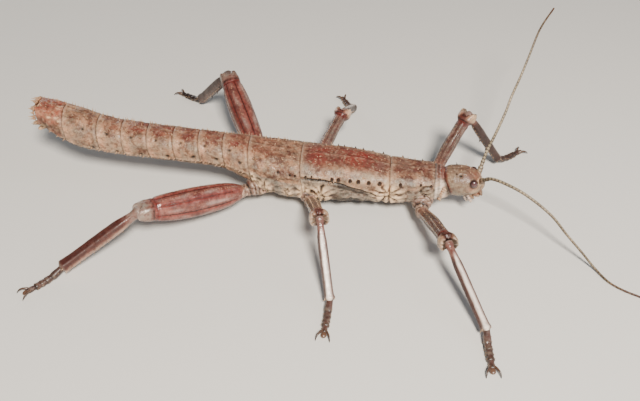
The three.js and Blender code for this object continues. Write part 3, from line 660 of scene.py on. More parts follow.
def makeAbdomen():
    pieces = []
    for k, (front, back) in enumerate(zip(abdomenJoints, abdomenJoints[1:])):
        last = k == len(abdomenJoints) - 2
        lowMargin = 1.75 + 0.2 * min(k, 3) / 3

        def detail(x, angle, fromFront, length):
            notch = -0.9 * step(fromFront, length - 1.2, length) * bell(angle, 0.0, 0.5) if last else 0.0
            fold = -0.10 * bell(fromFront, 1.7, 0.28) * (np.abs(angle) < 2.2)
            if last:   # the two last rings are one, but for a faint fold
                fold = fold - 0.14 * bell(x, -69.0, 0.35)
                fold = fold - 0.25 * creased(bodyPoint(trunk, x, angle), 1.7, 8.0)
            return (keel(angle) + sideDetail(angle, lowMargin, 0.22) + fold + notch
                    + dimpleDetail(x, angle, dimples))

        def paint(x, angle, fromFront, length, flat):
            around = np.abs(angle)
            mauve, drift, streak = backPaint(x, angle, flat)
            rear = step(fromFront, length - 2.4, length - 0.9) * (0.25 + 0.75 * streak) * (1 - last)
            tail = 1 - step(x, -65.5, -63.5)
            fleck = step(grain(flat * (0.5, 1, 1), 0.9, 17.0), 0.1, 0.4)
            low = step(around, 0.9, 1.6)
            middle = bell(around, 1.0, 0.35) * (1 - step(np.abs(fromFront - length * 0.4), 1.0, 2.6))
            onSide = step(around, 0.55, 1.0)
            patch = step(grain(flat, 1.9, 14.0), -0.05, 0.35)
            stripe = bell(angle, 0.1, 0.35)
            end = 1 - step(x, -72.0, -69.5)
            # on the tail the underside (low) is painted darker as shade, with less salmon, and the inside of
            # its open end is painted dark as shade
            return {
                "mauve": mauve * (1 - 0.7 * rear) + (0.3 * patch + 0.35 * middle) * onSide
                         + 0.7 * bell(fromFront, length, 0.3)
                         + tail * (0.7 * low + 0.8 * (1 - patch) + 0.9 * stripe + 0.6 * end - 0.2),
                "cream": 0.22 * rear + 0.25 * drift * onSide + 1.0 * tail * fleck * patch,
                "grey": 0.5 * (1 - patch) * onSide * (1 - rear) * (1 - tail),
                "dark": np.maximum.reduce([
                    0.9 * bell(fromFront, 0.05, 0.24), dimplePaint(x, angle),
                    last * 0.95 * step(fromFront, length + 0.05, length + 0.2),
                    last * (0.7 * low * patch + 0.5 * (1 - step(x, -72.5, -71.0)) * fleck)]),
                "salmon": tail * (0.1 + 0.8 * drift) * (1 - 0.85 * low) * (1 - 0.6 * stripe)
                          + 0.6 * rear * onSide * (1 - patch),
                "crimson": 0.8 * streak * bell(around, 0.3, 0.3) * step(x, -62, -45)
                           + 0.5 * tail * (1 - patch) * (1 - fleck),
            }

        pieces.append(trunkRing(f"ring{k + 2}", front, back, "matteBodyCuticle", detail, paint, hollow=last))
        if last:
            count = fringe["spines"]
            for n in range(count):
                angle = n * 2 * math.pi / count + dice.uniform(-0.1, 0.1)
                root, out = onBody(trunk, back + 0.5, angle, -0.15)
                addSpine("pale", root, out * dice.uniform(-0.1, 0.5) + Vector((-1, 0, 0)),
                         dice.uniform(*fringe["height"]), dice.uniform(*fringe["width"]))
        bristleRing(front, back, lowMargin)
    print("abdomen")
    return pieces


seam = np.array([   # where the back plate of the middle ring ends on the side: x and angle
    (0.0, 1.12), (6.5, 1.13), (10.9, 1.27), (16.3, 1.60), (19.9, 1.74), (23.0, 1.80),
])
puckers = {   # soft folds beside the hips: x, angle and size
    "places": ((22.6, 1.74, 3.9), (5.4, 2.02, 3.2), (1.0, 1.9, 1.9), (-3.2, 2.0, 1.5), (-9.4, 2.05, 2.0),
               (-13.2, 1.8, 1.7)),
    "stretch": 5.6, "rays": 4.5, "wobble": 1.4,
}
boss = {"x": 32.5, "angle": 1.5, "radius": 1.5, "line": 1.13, "arch": 0.016}   # low on the first ring
thornRows = {   # x of the cone thorns along the margin, on both sides
    "big": (8.3, 9.9, 12.9, 15.0, 17.6, 20.4, 25.6),
    "small": (-5.6, -2.5, -1.2, 1.5, 3.1, 5.2, 30.8, 33.4),
}
granules = {"all": 110, "patch": 46, "bristles": 84, "rearBristles": 56}


def puckered(x, angle, flat):   # how near a point is to such folds, and the folds themselves, 0 in a valley
    near, folds = np.zeros(len(x)), np.zeros(len(x))
    wobble = puckers["wobble"] * grain(flat, 1.6, 31.0)
    for px, pAngle, size in puckers["places"]:
        dx, dy = x - px, (np.abs(angle) - pAngle) * puckers["stretch"]
        here = bell(np.hypot(dx, dy), 0.35 * size, 0.6 * size)
        rays = np.abs(np.sin(puckers["rays"] * np.arctan2(dy, dx) + wobble))
        folds = np.where(here > near, rays, folds)
        near = np.maximum(near, here)
    return near, folds


def seamSide(x, angle):   # above 0 below the seam of the middle ring, in radians
    return np.abs(angle) - np.interp(x, seam[:, 0], seam[:, 1])


def bossAway(x, angle):   # distance from the smooth oval boss, 1 at its edge
    return np.hypot((x - boss["x"]) / boss["radius"],
                    (np.abs(angle) - boss["angle"]) * roundStretch / boss["radius"])


def bossRise(x, angle):
    return 1 - step(bossAway(x, angle), 0.8, 1.0)


def bossRim(x, angle):
    return bell(bossAway(x, angle), 1.06, 0.1)


def bossLine(x, angle):   # the groove over the boss, arched from front to back
    arched = np.abs(angle) - boss["line"] - boss["arch"] * (x - 32.0) ** 2
    return bell(arched, 0.0, 0.035) * bell(x, 32.2, 2.6)


def spikeThorax():   # thorns, granules and bristles
    for x in thornRows["big"]:
        for side in (-1, 1):
            bodySpine("dark", trunk, x, side * margin["angle"], 0.15, (-0.1, 0, 0.1),
                      dice.uniform(0.85, 1.15), 0.6)
    for x in thornRows["small"]:
        for side in (-1, 1):
            bodySpine("dark", trunk, x, side * (margin["angle"] + dice.uniform(-0.04, 0.04)), 0.12,
                      (-0.1, 0, 0.1), dice.uniform(0.5, 0.7), 0.36)
    for _ in range(granules["all"]):   # short and pale, scattered over the back and sides
        x, side = dice.uniform(-13.5, 34), dice.choice((-1, 1))
        bodySpine("grain", trunk, x, side * dice.uniform(0.1, 1.5), 0.05, (0, 0, 0),
                  dice.uniform(0.15, 0.32), dice.uniform(0.12, 0.2))
    for _ in range(granules["patch"]):   # a denser patch, half way along the middle ring
        bodySpine("grain", trunk, dice.gauss(16.0, 1.9), dice.choice((-1, 1)) * dice.gauss(0.86, 0.1), 0.04,
                  (0, 0, 0), dice.uniform(0.14, 0.28), dice.uniform(0.1, 0.18))
    for n in range(granules["bristles"]):   # along the edges of the back, thickest on the rear ring
        x = dice.uniform(-14, 0) if n < granules["rearBristles"] else dice.uniform(0, 33)
        bodySpine("pale", trunk, x, dice.choice((-1, 1)) * dice.uniform(0.45, 1.0), 0.03,
                  (-0.2, dice.uniform(-0.2, 0.2), 0), dice.uniform(0.4, 0.9), 0.13)


def makeThorax():
    pieces = []
    for name, (front, back) in thoraxRings.items():

        def detail(x, angle, fromFront, length):
            around, flat = np.abs(angle), bodyPoint(trunk, x, angle)
            high = margin["height"] * step(fromFront, 0.5, 2.5)
            high = high * (1 - 0.6 * step(fromFront, length - 1.5, length))
            low = step(around, 1.25, 1.6)
            hip, crinkle = puckered(x, angle, flat)
            out = keel(angle) * 2.2
            out = out + low * (0.42 * grain(flat, 2.4, 21.0) + 0.2 * grain(flat * (0.5, 1, 1), 1.0, 22.0)
                               - 0.26 * creased(flat, 1.9))
            out = out + hip * (1.0 * crinkle - 0.3)
            if name == "mesothorax":
                below = seamSide(x, angle)
                out = out + high * 0.8 * bell(around, margin["angle"], 0.09)
                out = out - 0.42 * step(below, -0.02, 0.05) - 0.45 * bell(below, 0.05, 0.05)
                out = out + 0.12 * bell(below, -0.06, 0.06)
                out = out + 0.2 * bell(around, 2.05, 0.07)
            elif name == "metathorax":
                out = out + sideDetail(angle, margin["angle"] + 0.12, high * 0.9)
                out = out + dimpleDetail(x, angle, dimples[:1])
                for n in range(3):   # slanting grooves above the hind hip
                    slanted = x + 3.2 + 1.5 * n - (around - 0.98) * 7
                    out = out - 0.22 * bell(slanted, 0.0, 0.28) * bell(around, 0.98, 0.16)
            else:
                out = out + sideDetail(angle, margin["angle"], high * 0.7)
                out = out + 0.2 * bossRise(x, angle) - 0.25 * bossRim(x, angle) - 0.2 * bossLine(x, angle)
            return out

        def paint(x, angle, fromFront, length, flat):
            around = np.abs(angle)
            mauve, drift, streak = backPaint(x, angle, flat)
            rear = step(fromFront, length - 1.6, length - 0.6) * (0.3 + 0.7 * streak)
            onBack = 1 - step(around, 0.35, 0.85)
            blotch = step(grain(flat * (0.6, 1, 1), 1.5, 12.0), 0.05, 0.4)
            spots = bell(x, 14.2, 4.6) + 0.75 * bell(x, 3.8, 3.0) + 0.45 * bell(x, -11.0, 3.5)
            below = seamSide(x, angle) if name == "mesothorax" else around - 1.5
            underSeam = step(below, 0.0, 0.06)
            ends = np.maximum(bell(fromFront, length, 3.0), bell(fromFront, 0.0, 2.6))
            hip, crinkle = puckered(x, angle, flat)
            dark = np.maximum(0.9 * bell(fromFront, 0.05, 0.22), dimplePaint(x, angle))
            if name == "mesothorax":
                # a dark wedge under the seam, and the underside below it painted darker as shade
                wedgeAndUnderShade = bell(below, 0.22, 0.14) * bell(x, 13.0, 4.5) + 0.8 * step(below, 0.55, 0.8)
                wedgeAndUnderShade = step(wedgeAndUnderShade + 0.4 * grain(flat * (0.4, 1, 1), 1.6, 25.0), 0.25, 0.7)
                dark = np.maximum.reduce([dark, 0.8 * bell(below, 0.04, 0.05), 0.85 * (1 - hip) * wedgeAndUnderShade])
            elif name == "prothorax":
                dark = np.maximum(dark, 0.65 * bossRim(x, angle) + 0.6 * bossLine(x, angle))
            bare = 0.4 * step(around, 0.6, 0.9) + 0.6 * bossRise(x, angle)
            return {
                "mauve": np.clip(mauve * 0.6 + (0.45 + 0.45 * streak) * onBack, 0, 1) * (1 - underSeam)
                         * (0.45 if name == "metathorax" else 1.0) + 0.7 * bell(fromFront, length, 0.3),
                "crimson": np.clip(spots * (0.25 + 1.1 * drift), 0, 1) * onBack,
                "grey": underSeam * 1.0 + 0.55 * bell(x, 2.4, 2.4) * bell(around, 0.75, 0.35)
                        + 0.6 * blotch * (1 - 0.6 * onBack) + (name == "prothorax") * bare,
                "cream": 0.15 * rear + 0.25 * ends * step(around, 1.35, 1.8)
                         + 1.3 * hip * step(crinkle, 0.15, 0.6),
                "salmon": 0.4 * hip * (1 - step(crinkle, 0.3, 0.8)),
                # the dark valleys between the folds beside the hips are painted shade
                "dark": np.maximum(dark, 0.85 * hip * (1 - step(crinkle, 0.0, 0.3))
                                   + 0.3 * step(around, 1.25, 1.5) * creased(flat, 1.9)),
                "ridge": 0.5 * bell(x, 16.5, 4.5) * bell(around, 0.85, 0.25) * streak,
            }

        pieces.append(trunkRing(name, front, back, "matteBodyCuticle", detail, paint))
    spikeThorax()
    print("thorax")
    return pieces


collar = {"front": 36.6, "back": 34.3, "fringe": 9, "firstAngle": 1.35, "angleStep": 0.17}


def makeCollar():   # the pale soft band between the first ring and the head, scalloped below
    def detail(x, angle, fromFront, length):
        flare = 0.3 * step(np.abs(angle), 1.0, 2.2) * step(x, 34.8, 36.4)
        return flare - 0.16 * bell(fromFront, 1.5, 0.25) - 0.12 * step(x, 34.5, 36.5)

    def paint(x, angle, fromFront, length, flat):
        drift = cloud(flat, 1.6, 2.0)
        onSide = step(np.abs(angle), 0.5, 1.1)
        # ridge paints a whitish highlight along the collar's sides
        return {"ridge": 0.85 * onSide * (0.2 + 0.8 * step(drift, 0.35, 0.7)), "cream": 0.5 * onSide,
                "mauve": 1 - onSide + 0.3 * drift, "crimson": 0.35 * (1 - step(fromFront, 0.2, 0.6)),
                "dark": 0.6 * bell(fromFront, length, 0.3) + 0.4 * creased(flat, 1.8)
                        + 0.8 * (1 - step(fromFront, -0.2, 0.25))}

    band = trunkRing("collar", collar["front"], collar["back"], "softJointMembrane", detail, paint)
    for side in (-1, 1):
        for n in range(collar["fringe"]):
            x = collar["front"] - 0.15 * n + dice.uniform(-0.2, 0.2)
            bodySpine("pale", trunk, x, side * (collar["firstAngle"] + collar["angleStep"] * n), 0.1,
                      (1.1, 0, -0.2), dice.uniform(0.6, 1.1), dice.uniform(0.3, 0.5))
    return [band]


headShape = np.array([   # x, y, z, wide, up, down, squareness of the section
    (35.8, 0.0, 10.4, 2.9, 2.7, 2.9, 2.1),
    (38.4, 0.0, 10.6, 4.0, 3.7, 3.5, 2.15),
    (41.2, 0.0, 10.7, 4.15, 3.9, 3.55, 2.2),
    (44.2, 0.0, 10.7, 3.2, 3.1, 3.3, 2.25),
    (46.6, 0.0, 10.2, 1.85, 1.7, 2.3, 2.25),
])
headLook = {
    "start": 35.9, "end": 47.2, "rearDome": 2.0, "frontDome": 2.3, "rows": 96, "around": 128,
    "eye": (44.0, 2.88, 12.12), "eyeRadius": 1.08, "rim": 0.16,
    "socket": (45.75, 1.65, 12.0), "socketRadius": 0.75,
    "dimple": (40.62, 2.44, 14.07),
    "lean": 1.25,   # how far the hind edge leans back over the neck
    "spines": ((39.6, 1.9, 0.75, 0.24), (41.9, 2.0, 0.55, 0.208), (40.7, 0.8, 0.4, 0.176),
               (43.0, 1.0, 0.45, 0.192), (38.3, 1.2, 0.4, 0.176)),   # x, y, height, width
}


def nearBoth(points, place):   # how far each point is from a place, or from its twin on the other side
    x, y, z = place
    return np.sqrt((points[:, 0] - x) ** 2 + (np.abs(points[:, 1]) - y) ** 2 + (points[:, 2] - z) ** 2)


def makeHead():
    look = headLook
    ball, along, angle, shut = ballGrid("headCapsule", look["rows"], look["around"])
    x = look["start"] + (look["end"] - look["start"]) * bunched(along, 0.55)
    full = np.where(shut, 0.0, domed(x, look["start"], look["end"], look["rearDome"], look["frontDome"]))
    flat = bodyPoint(headShape, x, angle, 0.0, full)
    eye, socket, dimple = (nearBoth(flat, look[part]) for part in ("eye", "socket", "dimple"))
    y, z = flat[:, 1], flat[:, 2]
    furrow = bell(y, 0.0, 0.16) * step(z, 12, 13.5) * (1 - step(x, 41.0, 41.8))
    fork = bell(np.abs(y) - 0.75 * (x - 41.4), 0.0, 0.2) * step(z, 12, 13)
    fork = fork * step(x, 41.4, 41.9) * (1 - step(x, 43.4, 44.0))
    cheek = bell(z - 9.4 + 0.35 * (x - 41.2), 0.0, 0.22) * step(x, 40.2, 41.7) * (1 - step(x, 45, 46))
    cheek = cheek * step(np.abs(y), 1.2, 2.4)
    lip = bell(x, 46.0, 0.2) * step(z, 6.8, 8.2) * (1 - step(z, 11.4, 12.2))
    proud = (0.06 * grain(flat, 1.5, 4.0) + 0.03 * grain(flat, 0.5, 8.0)
             + look["rim"] * bell(eye, look["eyeRadius"] + 0.28, 0.2) - 0.25 * bell(eye, 0, 0.9)
             + 0.34 * bell(socket, look["socketRadius"], 0.28) - 0.2 * bell(socket, 0, 0.5)
             - 0.4 * bell(dimple, 0.0, 0.42) - 0.12 * furrow - 0.12 * fork - 0.15 * cheek - 0.16 * lip
             - 0.2 * bell(x, 37.6, 0.35)
             + 0.16 * bell(np.abs(y), 1.5, 0.5) * bell(x, 41.5, 1.4) * step(z, 12, 13.5))
    points = bodyPoint(headShape, x, angle, proud, full)
    points[:, 0] -= look["lean"] * np.cos(angle) * (1 - step(x, 36.0, 41.0))
    drift = cloud(flat, 1.8, 6.0)
    top = step(z, 11.8, 13.6)
    edge = 37.45 + 0.75 * step(np.abs(angle), 0.9, 1.8)   # where the dark red hind edge ends
    paint = {
        "mauve": 0.15 * drift + 0.75 * top * (0.6 + 0.4 * step(x, 39.0, 42.5))
                 + 0.75 * (1 - step(x, 36.4, 37.6)) + 0.5 * step(x, 45.0, 46.2),
        "crimson": 0.4 * top * bell(x, 43.6, 1.6) * drift
                   + 0.35 * (1 - step(z, 7.6, 8.6)) * step(x, 42.0, 44.5)
                   + 0.5 * step(x, 45.2, 46.4) * (1 - step(z, 8.0, 10.5))
                   + 0.95 * (1 - step(x - edge, 0.1, 0.8)),
        "grey": (0.7 * (1 - top) + 0.35 * top) * (1 - step(x, 42.5, 45.0)) * (0.55 + 0.45 * drift),
        "cream": 0.5 * bell(np.hypot(x - 44.3, (z - 9.9)), 0, 0.8) + 0.35 * bell(socket, 0.9, 0.35)
                 + 0.25 * step(x, 44.5, 46.5) * drift,
        # dark includes painted shade, deepening towards the bottom of the head
        "dark": 1.2 * bell(dimple, 0.0, 0.36) + 0.85 * bell(eye, 1.12, 0.2) + 0.5 * (furrow + fork)
                + 0.8 * (1 - step(x - edge, 0.0, 0.6)) + 0.35 * cheek + 0.3 * lip
                + 0.25 * step(10.5 - z, 1.0, 3.0),
        "salmon": 0.45 * bell(np.hypot(x - 44.8, z - 12.6), 0, 1.3) * drift
                  + 0.4 * bell(np.hypot(x - 43.6, z - 10.8), 0, 1.0),
    }
    for px, py, tall, wide in look["spines"]:
        for side in (-1, 1):
            bodySpine("dark" if tall > 0.7 else "pale", headShape, px, side * math.asin(py / 4.1) * 1.05, 0.0,
                      (-0.15, 0, 0.2), tall, wide)
    capsule = finishShape(ball, points, paint, "smoothHeadCuticle")
    print("head")
    return [capsule, makeNeck()]


neck = {"rings": ((33.6, 2.4), (35.0, 3.1), (36.0, 3.5), (36.7, 3.45), (38.0, 2.6)),   # x and radius
        "height": 10.3, "widen": 1.02, "fold": 0.08, "foldTurn": 7.0}


def makeNeck():   # dark red skin between the head and the collar
    rings = np.array(neck["rings"])
    ball, along, angle, shut = ballGrid("neck", 22, 72)
    x = rings[0, 0] + (rings[-1, 0] - rings[0, 0]) * along
    folds = np.sin(x * neck["foldTurn"])
    radius = np.where(shut, 0.0, np.interp(x, rings[:, 0], rings[:, 1]) + neck["fold"] * folds)
    points = np.stack([x, np.sin(angle) * radius * neck["widen"], neck["height"] + np.cos(angle) * radius],
                      axis=1)
    return finishShape(ball, points, {"crimson": 0.85, "dark": 0.4 + 0.25 * folds}, "softJointMembrane")


def limbFrame(start, end):   # a limb's own axes: along it, to its left, and up
    along = (end - start).normalized()
    left = Vector((0, 0, 1)).cross(along).normalized()
    return start, along, left, along.cross(left)


def limbPoint(axes, x, angle, wide, up, down, square, rise, proud=0.0, scale=1.0):
    start, along, left, high = (np.array(v) for v in axes)
    reach = sectionReach(angle, square) * scale
    tall = np.where(np.cos(angle) > 0, up, down)
    sideways, lift = np.sin(angle) * reach * (wide + proud), rise + np.cos(angle) * reach * (tall + proud)
    return start + x[:, None] * along + sideways[:, None] * left + lift[:, None] * high


def limb(name, start, end, table, material, detail, paint=None, *, rows, around, domes, square=2.4, bow=0.0,
         slide=None):
    # table rows are x, wide, up, down; detail and paint are read at (x, angle, points)
    table = np.array(table, float)
    axes = limbFrame(start, end)
    ball, along, angle, shut = ballGrid(name, rows, around)
    first, last = table[0, 0], table[-1, 0]
    x = first + (last - first) * bunched(along, 0.5)
    wide, up, down = stationValues(table, x)[:, 1:].T
    rise = bow * np.sin(math.pi * np.clip((x - first) / (last - first), 0, 1))
    full = np.where(shut, 0.0, np.maximum(domed(x, first, last, *domes), 0.02))
    flat = limbPoint(axes, x, angle, wide, up, down, square, rise)
    proud = detail(x, angle, flat)
    further = slide(x, angle, full) if slide else 0.0   # moves the surface along the limb
    points = limbPoint(axes, x + further, angle, wide, up, down, square, rise, proud, full)
    points[:, 2] = np.maximum(points[:, 2], floorGap)
    return finishShape(ball, points, paint(x, angle, flat) if paint else {}, material)


def limbSpine(kind, axes, table, x, angle, lean, height, width, square=2.4, rise=0.0, sink=0.0, outward=1.0):
    # it points outwards, and leans along the limb
    table = np.array(table, float)
    wide, up, down = stationValues(table, np.array([x, x]))[:, 1:].T
    spots = limbPoint(axes, np.array([x, x]), np.array([angle, angle]), wide, up, down, square, rise,
                      np.array([0.0, 1.0]))
    root, out = Vector(spots[0]), Vector(spots[1] - spots[0]).normalized()
    addSpine(kind, root - out * sink, out * outward + axes[1] * lean, height, width)


legPairs = {   # mm: the hip, the lengths of thigh, shin and foot, half the thigh's width and height, the shin
    "front": {"hipX": 31.5, "hipZ": 6.7, "femur": 18.5, "tibia": 21.7, "foot": 10.6,
              "wide": 1.6, "high": 1.7, "shin": 1.1, "bow": 0.6, "ridges": 8, "ridge": 0.13},
    "middle": {"hipX": 1.8, "hipZ": 6.4, "femur": 19.4, "tibia": 19.0, "foot": 9.7,
               "wide": 1.6, "high": 1.7, "shin": 1.1, "bow": 0.6, "ridges": 8, "ridge": 0.13},
    "hind": {"hipX": -12.0, "hipZ": 7.1, "femur": 28.9, "tibia": 22.9, "foot": 10.8,
             "wide": 3.2, "high": 3.6, "shin": 1.5, "bow": -0.5, "ridges": 7, "ridge": 0.26},
}
hipRoot = {"y": 4.6, "reach": 3.6, "fall": 8}   # mm, mm, and degrees below level
ankleHeight, clawHeight = 2.4, 0.6
stance = {   # degrees forward of straight out: hip, thigh, lift of the thigh, shin, foot
    "front_right": (-1, 22, 15.5, 28.5, 8), "front_left": (48, 41, 50.5, 60, 46),
    "middle_right": (18, 16, 28, 17.5, -1.5), "middle_left": (3.5, 17, 17.5, 4, -28),
    "hind_right": (-54.5, -51, 11, -55, -40.5), "hind_left": (-26, -31, 24, -48.5, -61),
}
shade = {   # painted shade: how much darker than the others each thigh and shin is
    "front_right": (0.3, 0.05), "front_left": (0.18, 0.3), "middle_right": (0.15, 0.0),
    "middle_left": (0.12, 0.2), "hind_right": (0.0, 0.05), "hind_left": (0.2, 0.75),
}


def legJoints(name, pair, out):
    hipYaw, thighYaw, thighLift, shinYaw, footYaw = (math.radians(v) for v in stance[name])
    size = legPairs[pair]

    def stride(yaw, lift, length):
        return Vector((math.cos(lift) * math.sin(yaw), out * math.cos(lift) * math.cos(yaw),
                       math.sin(lift))) * length

    top = Vector((size["hipX"], out * hipRoot["y"], size["hipZ"]))
    root = top + stride(hipYaw, -math.radians(hipRoot["fall"]), hipRoot["reach"])
    knee = root + stride(thighYaw, thighLift, size["femur"])
    ankle = knee + stride(shinYaw, -math.asin((knee.z - ankleHeight) / size["tibia"]), size["tibia"])
    claw = ankle + stride(footYaw, -math.asin((ankleHeight - clawHeight) / size["foot"]), size["foot"])
    return top, root, knee, ankle, claw


hipShape = {
    "folds": ((-2.4, 2.2, 2.2, 2.3), (-0.8, 2.55, 2.35, 2.5), (0.7, 2.35, 2.1, 2.3), (1.6, 2.0, 1.8, 1.9)),
    "foldTurn": 2.1, "foldHeight": 0.22, "rows": 30, "around": 50,
}


def makeHip(name, top, root):   # folded membrane, then the coxa
    length = (root - top).length
    grid = {"rows": hipShape["rows"], "around": hipShape["around"]}

    def foldWave(x, flat):
        return np.abs(np.sin((x + 0.9 * grain(flat, 2.0, 3.0)) * hipShape["foldTurn"]))

    def foldDetail(x, angle, flat):
        return (hipShape["foldHeight"] * foldWave(x, flat) + wrinkles(flat, 1.1, 0.4, 2.0)
                - 0.3 * creased(flat, 1.5, 2.0))

    def foldPaint(x, angle, flat):
        drift = cloud(flat, 1.1, 5.0)
        inner = 1 - step(x, -0.6, 0.6)
        shadedValley = 1 - step(foldWave(x, flat), 0.1, 0.45)
        # dark in the valleys between the folds is painted shade
        return {"cream": (0.25 + 0.7 * inner) * step(drift, 0.4, 0.7),
                "salmon": 0.5 * (1 - step(drift, 0.25, 0.5)) * inner,
                "dark": 0.7 * creased(flat, 1.5, 2.0) + 0.2 * (1 - inner) + 0.85 * shadedValley,
                "mauve": 0.7 * (1 - inner),
                "grey": 0.7 * step(grain(flat, 1.8, 9.0), 0.0, 0.3)}

    fold = limb("hipFold_" + name, top, root, hipShape["folds"], "softJointMembrane", foldDetail, foldPaint,
                domes=(0.8, 0.9), **grid)
    table = [(0.3, 1.8, 1.7, 1.8), (1.4, 2.15, 1.95, 2.05), (length * 0.55, 1.95, 1.8, 1.9),
             (length * 0.85, 1.7, 1.6, 1.6), (length + 0.4, 1.3, 1.25, 1.25)]

    def coxaDetail(x, angle, flat):
        rim = 0.26 * bell(x, length * 0.45, 0.4) - 0.3 * bell(x, length * 0.7, 0.2)
        return rim + wrinkles(flat, 1.0, 0.26, 7.0) - 0.28 * creased(flat, 1.6, 4.0)

    def coxaPaint(x, angle, flat):
        drift = cloud(flat, 0.9, 1.0)
        return {"cream": 0.3 * step(drift, 0.5, 0.75), "mauve": 0.55 + 0.35 * (1 - drift),
                "grey": 0.5 * drift,
                "dark": 0.15 + 0.75 * bell(x, length * 0.7, 0.25) + 0.6 * creased(flat, 1.6, 4.0)}

    coxa = limb("coxaShell_" + name, top, root, table, "softJointMembrane", coxaDetail, coxaPaint,
                domes=(0.6, 0.8), **grid)
    return [fold, coxa]


thighLook = {
    "stout": {   # the hind pair: swollen, strongly grooved, crimson in the furrows
        "rows": 110, "around": 108, "early": 0.68, "swell": 1.0, "shaftEnd": 0.16, "hollowFrom": (0.45, 0.65),
        "kneeHollow": 0.0, "crest": 0.2, "kneeCrest": 0.05, "crimson": 0.6, "furrow": 0.95, "mauve": 0.75,
        "kneeMauve": 0.0, "kneeCrease": 0.0, "kneeCream": 0.1, "rootCream": 2.0, "frill": 0.0, "open": 1.2,
        "ringEnd": 2.4, "ringWide": 1.9, "ringTip": 1.5, "ringDark": 0.0, "tooth": 0.15,
    },
    "slim": {   # the others: even in girth, brown and grey, with pale frilled lobes at the knee
        "rows": 90, "around": 72, "early": 0.86, "swell": 0.92, "shaftEnd": 0.4, "hollowFrom": (0.1, 0.35),
        "kneeHollow": 0.8, "crest": 0.06, "kneeCrest": 0.0, "crimson": 0.15, "furrow": 0.4, "mauve": 0.3,
        "kneeMauve": 0.5, "kneeCrease": 0.7, "kneeCream": 1.0, "rootCream": 6.0, "frill": 0.16, "open": 2.0,
        "ringEnd": 3.0, "ringWide": 1.42, "ringTip": 1.1, "ringDark": 0.45, "tooth": 0.12,
    },
}


def thighTable(size, look, stout):   # x, wide, up, down from the hip to the knee
    wide, high, length = size["wide"], size["high"], size["femur"]
    swell, early = look["swell"], look["early"]
    table = [(0.2, 1.4, 1.3, 1.3), (length * 0.1, wide * early, high * early, high * early),
             (length * 0.24, wide * 0.9, high * 0.88, high * 0.88), (length * 0.45, wide, high, high),
             (length * 0.7, wide * swell, high * 0.92, high * 0.94)]
    if not stout:   # slim thighs keep their girth until just before the knee
        table.append((length * 0.84, wide, high, high * 1.02))
    return table + [(length * 0.93, max(wide * 0.78, 2.1), max(high * 0.68, 2.0), max(high * 0.7, 2.1)),
                    (length + 0.7, 1.9, 1.6, 1.9)]


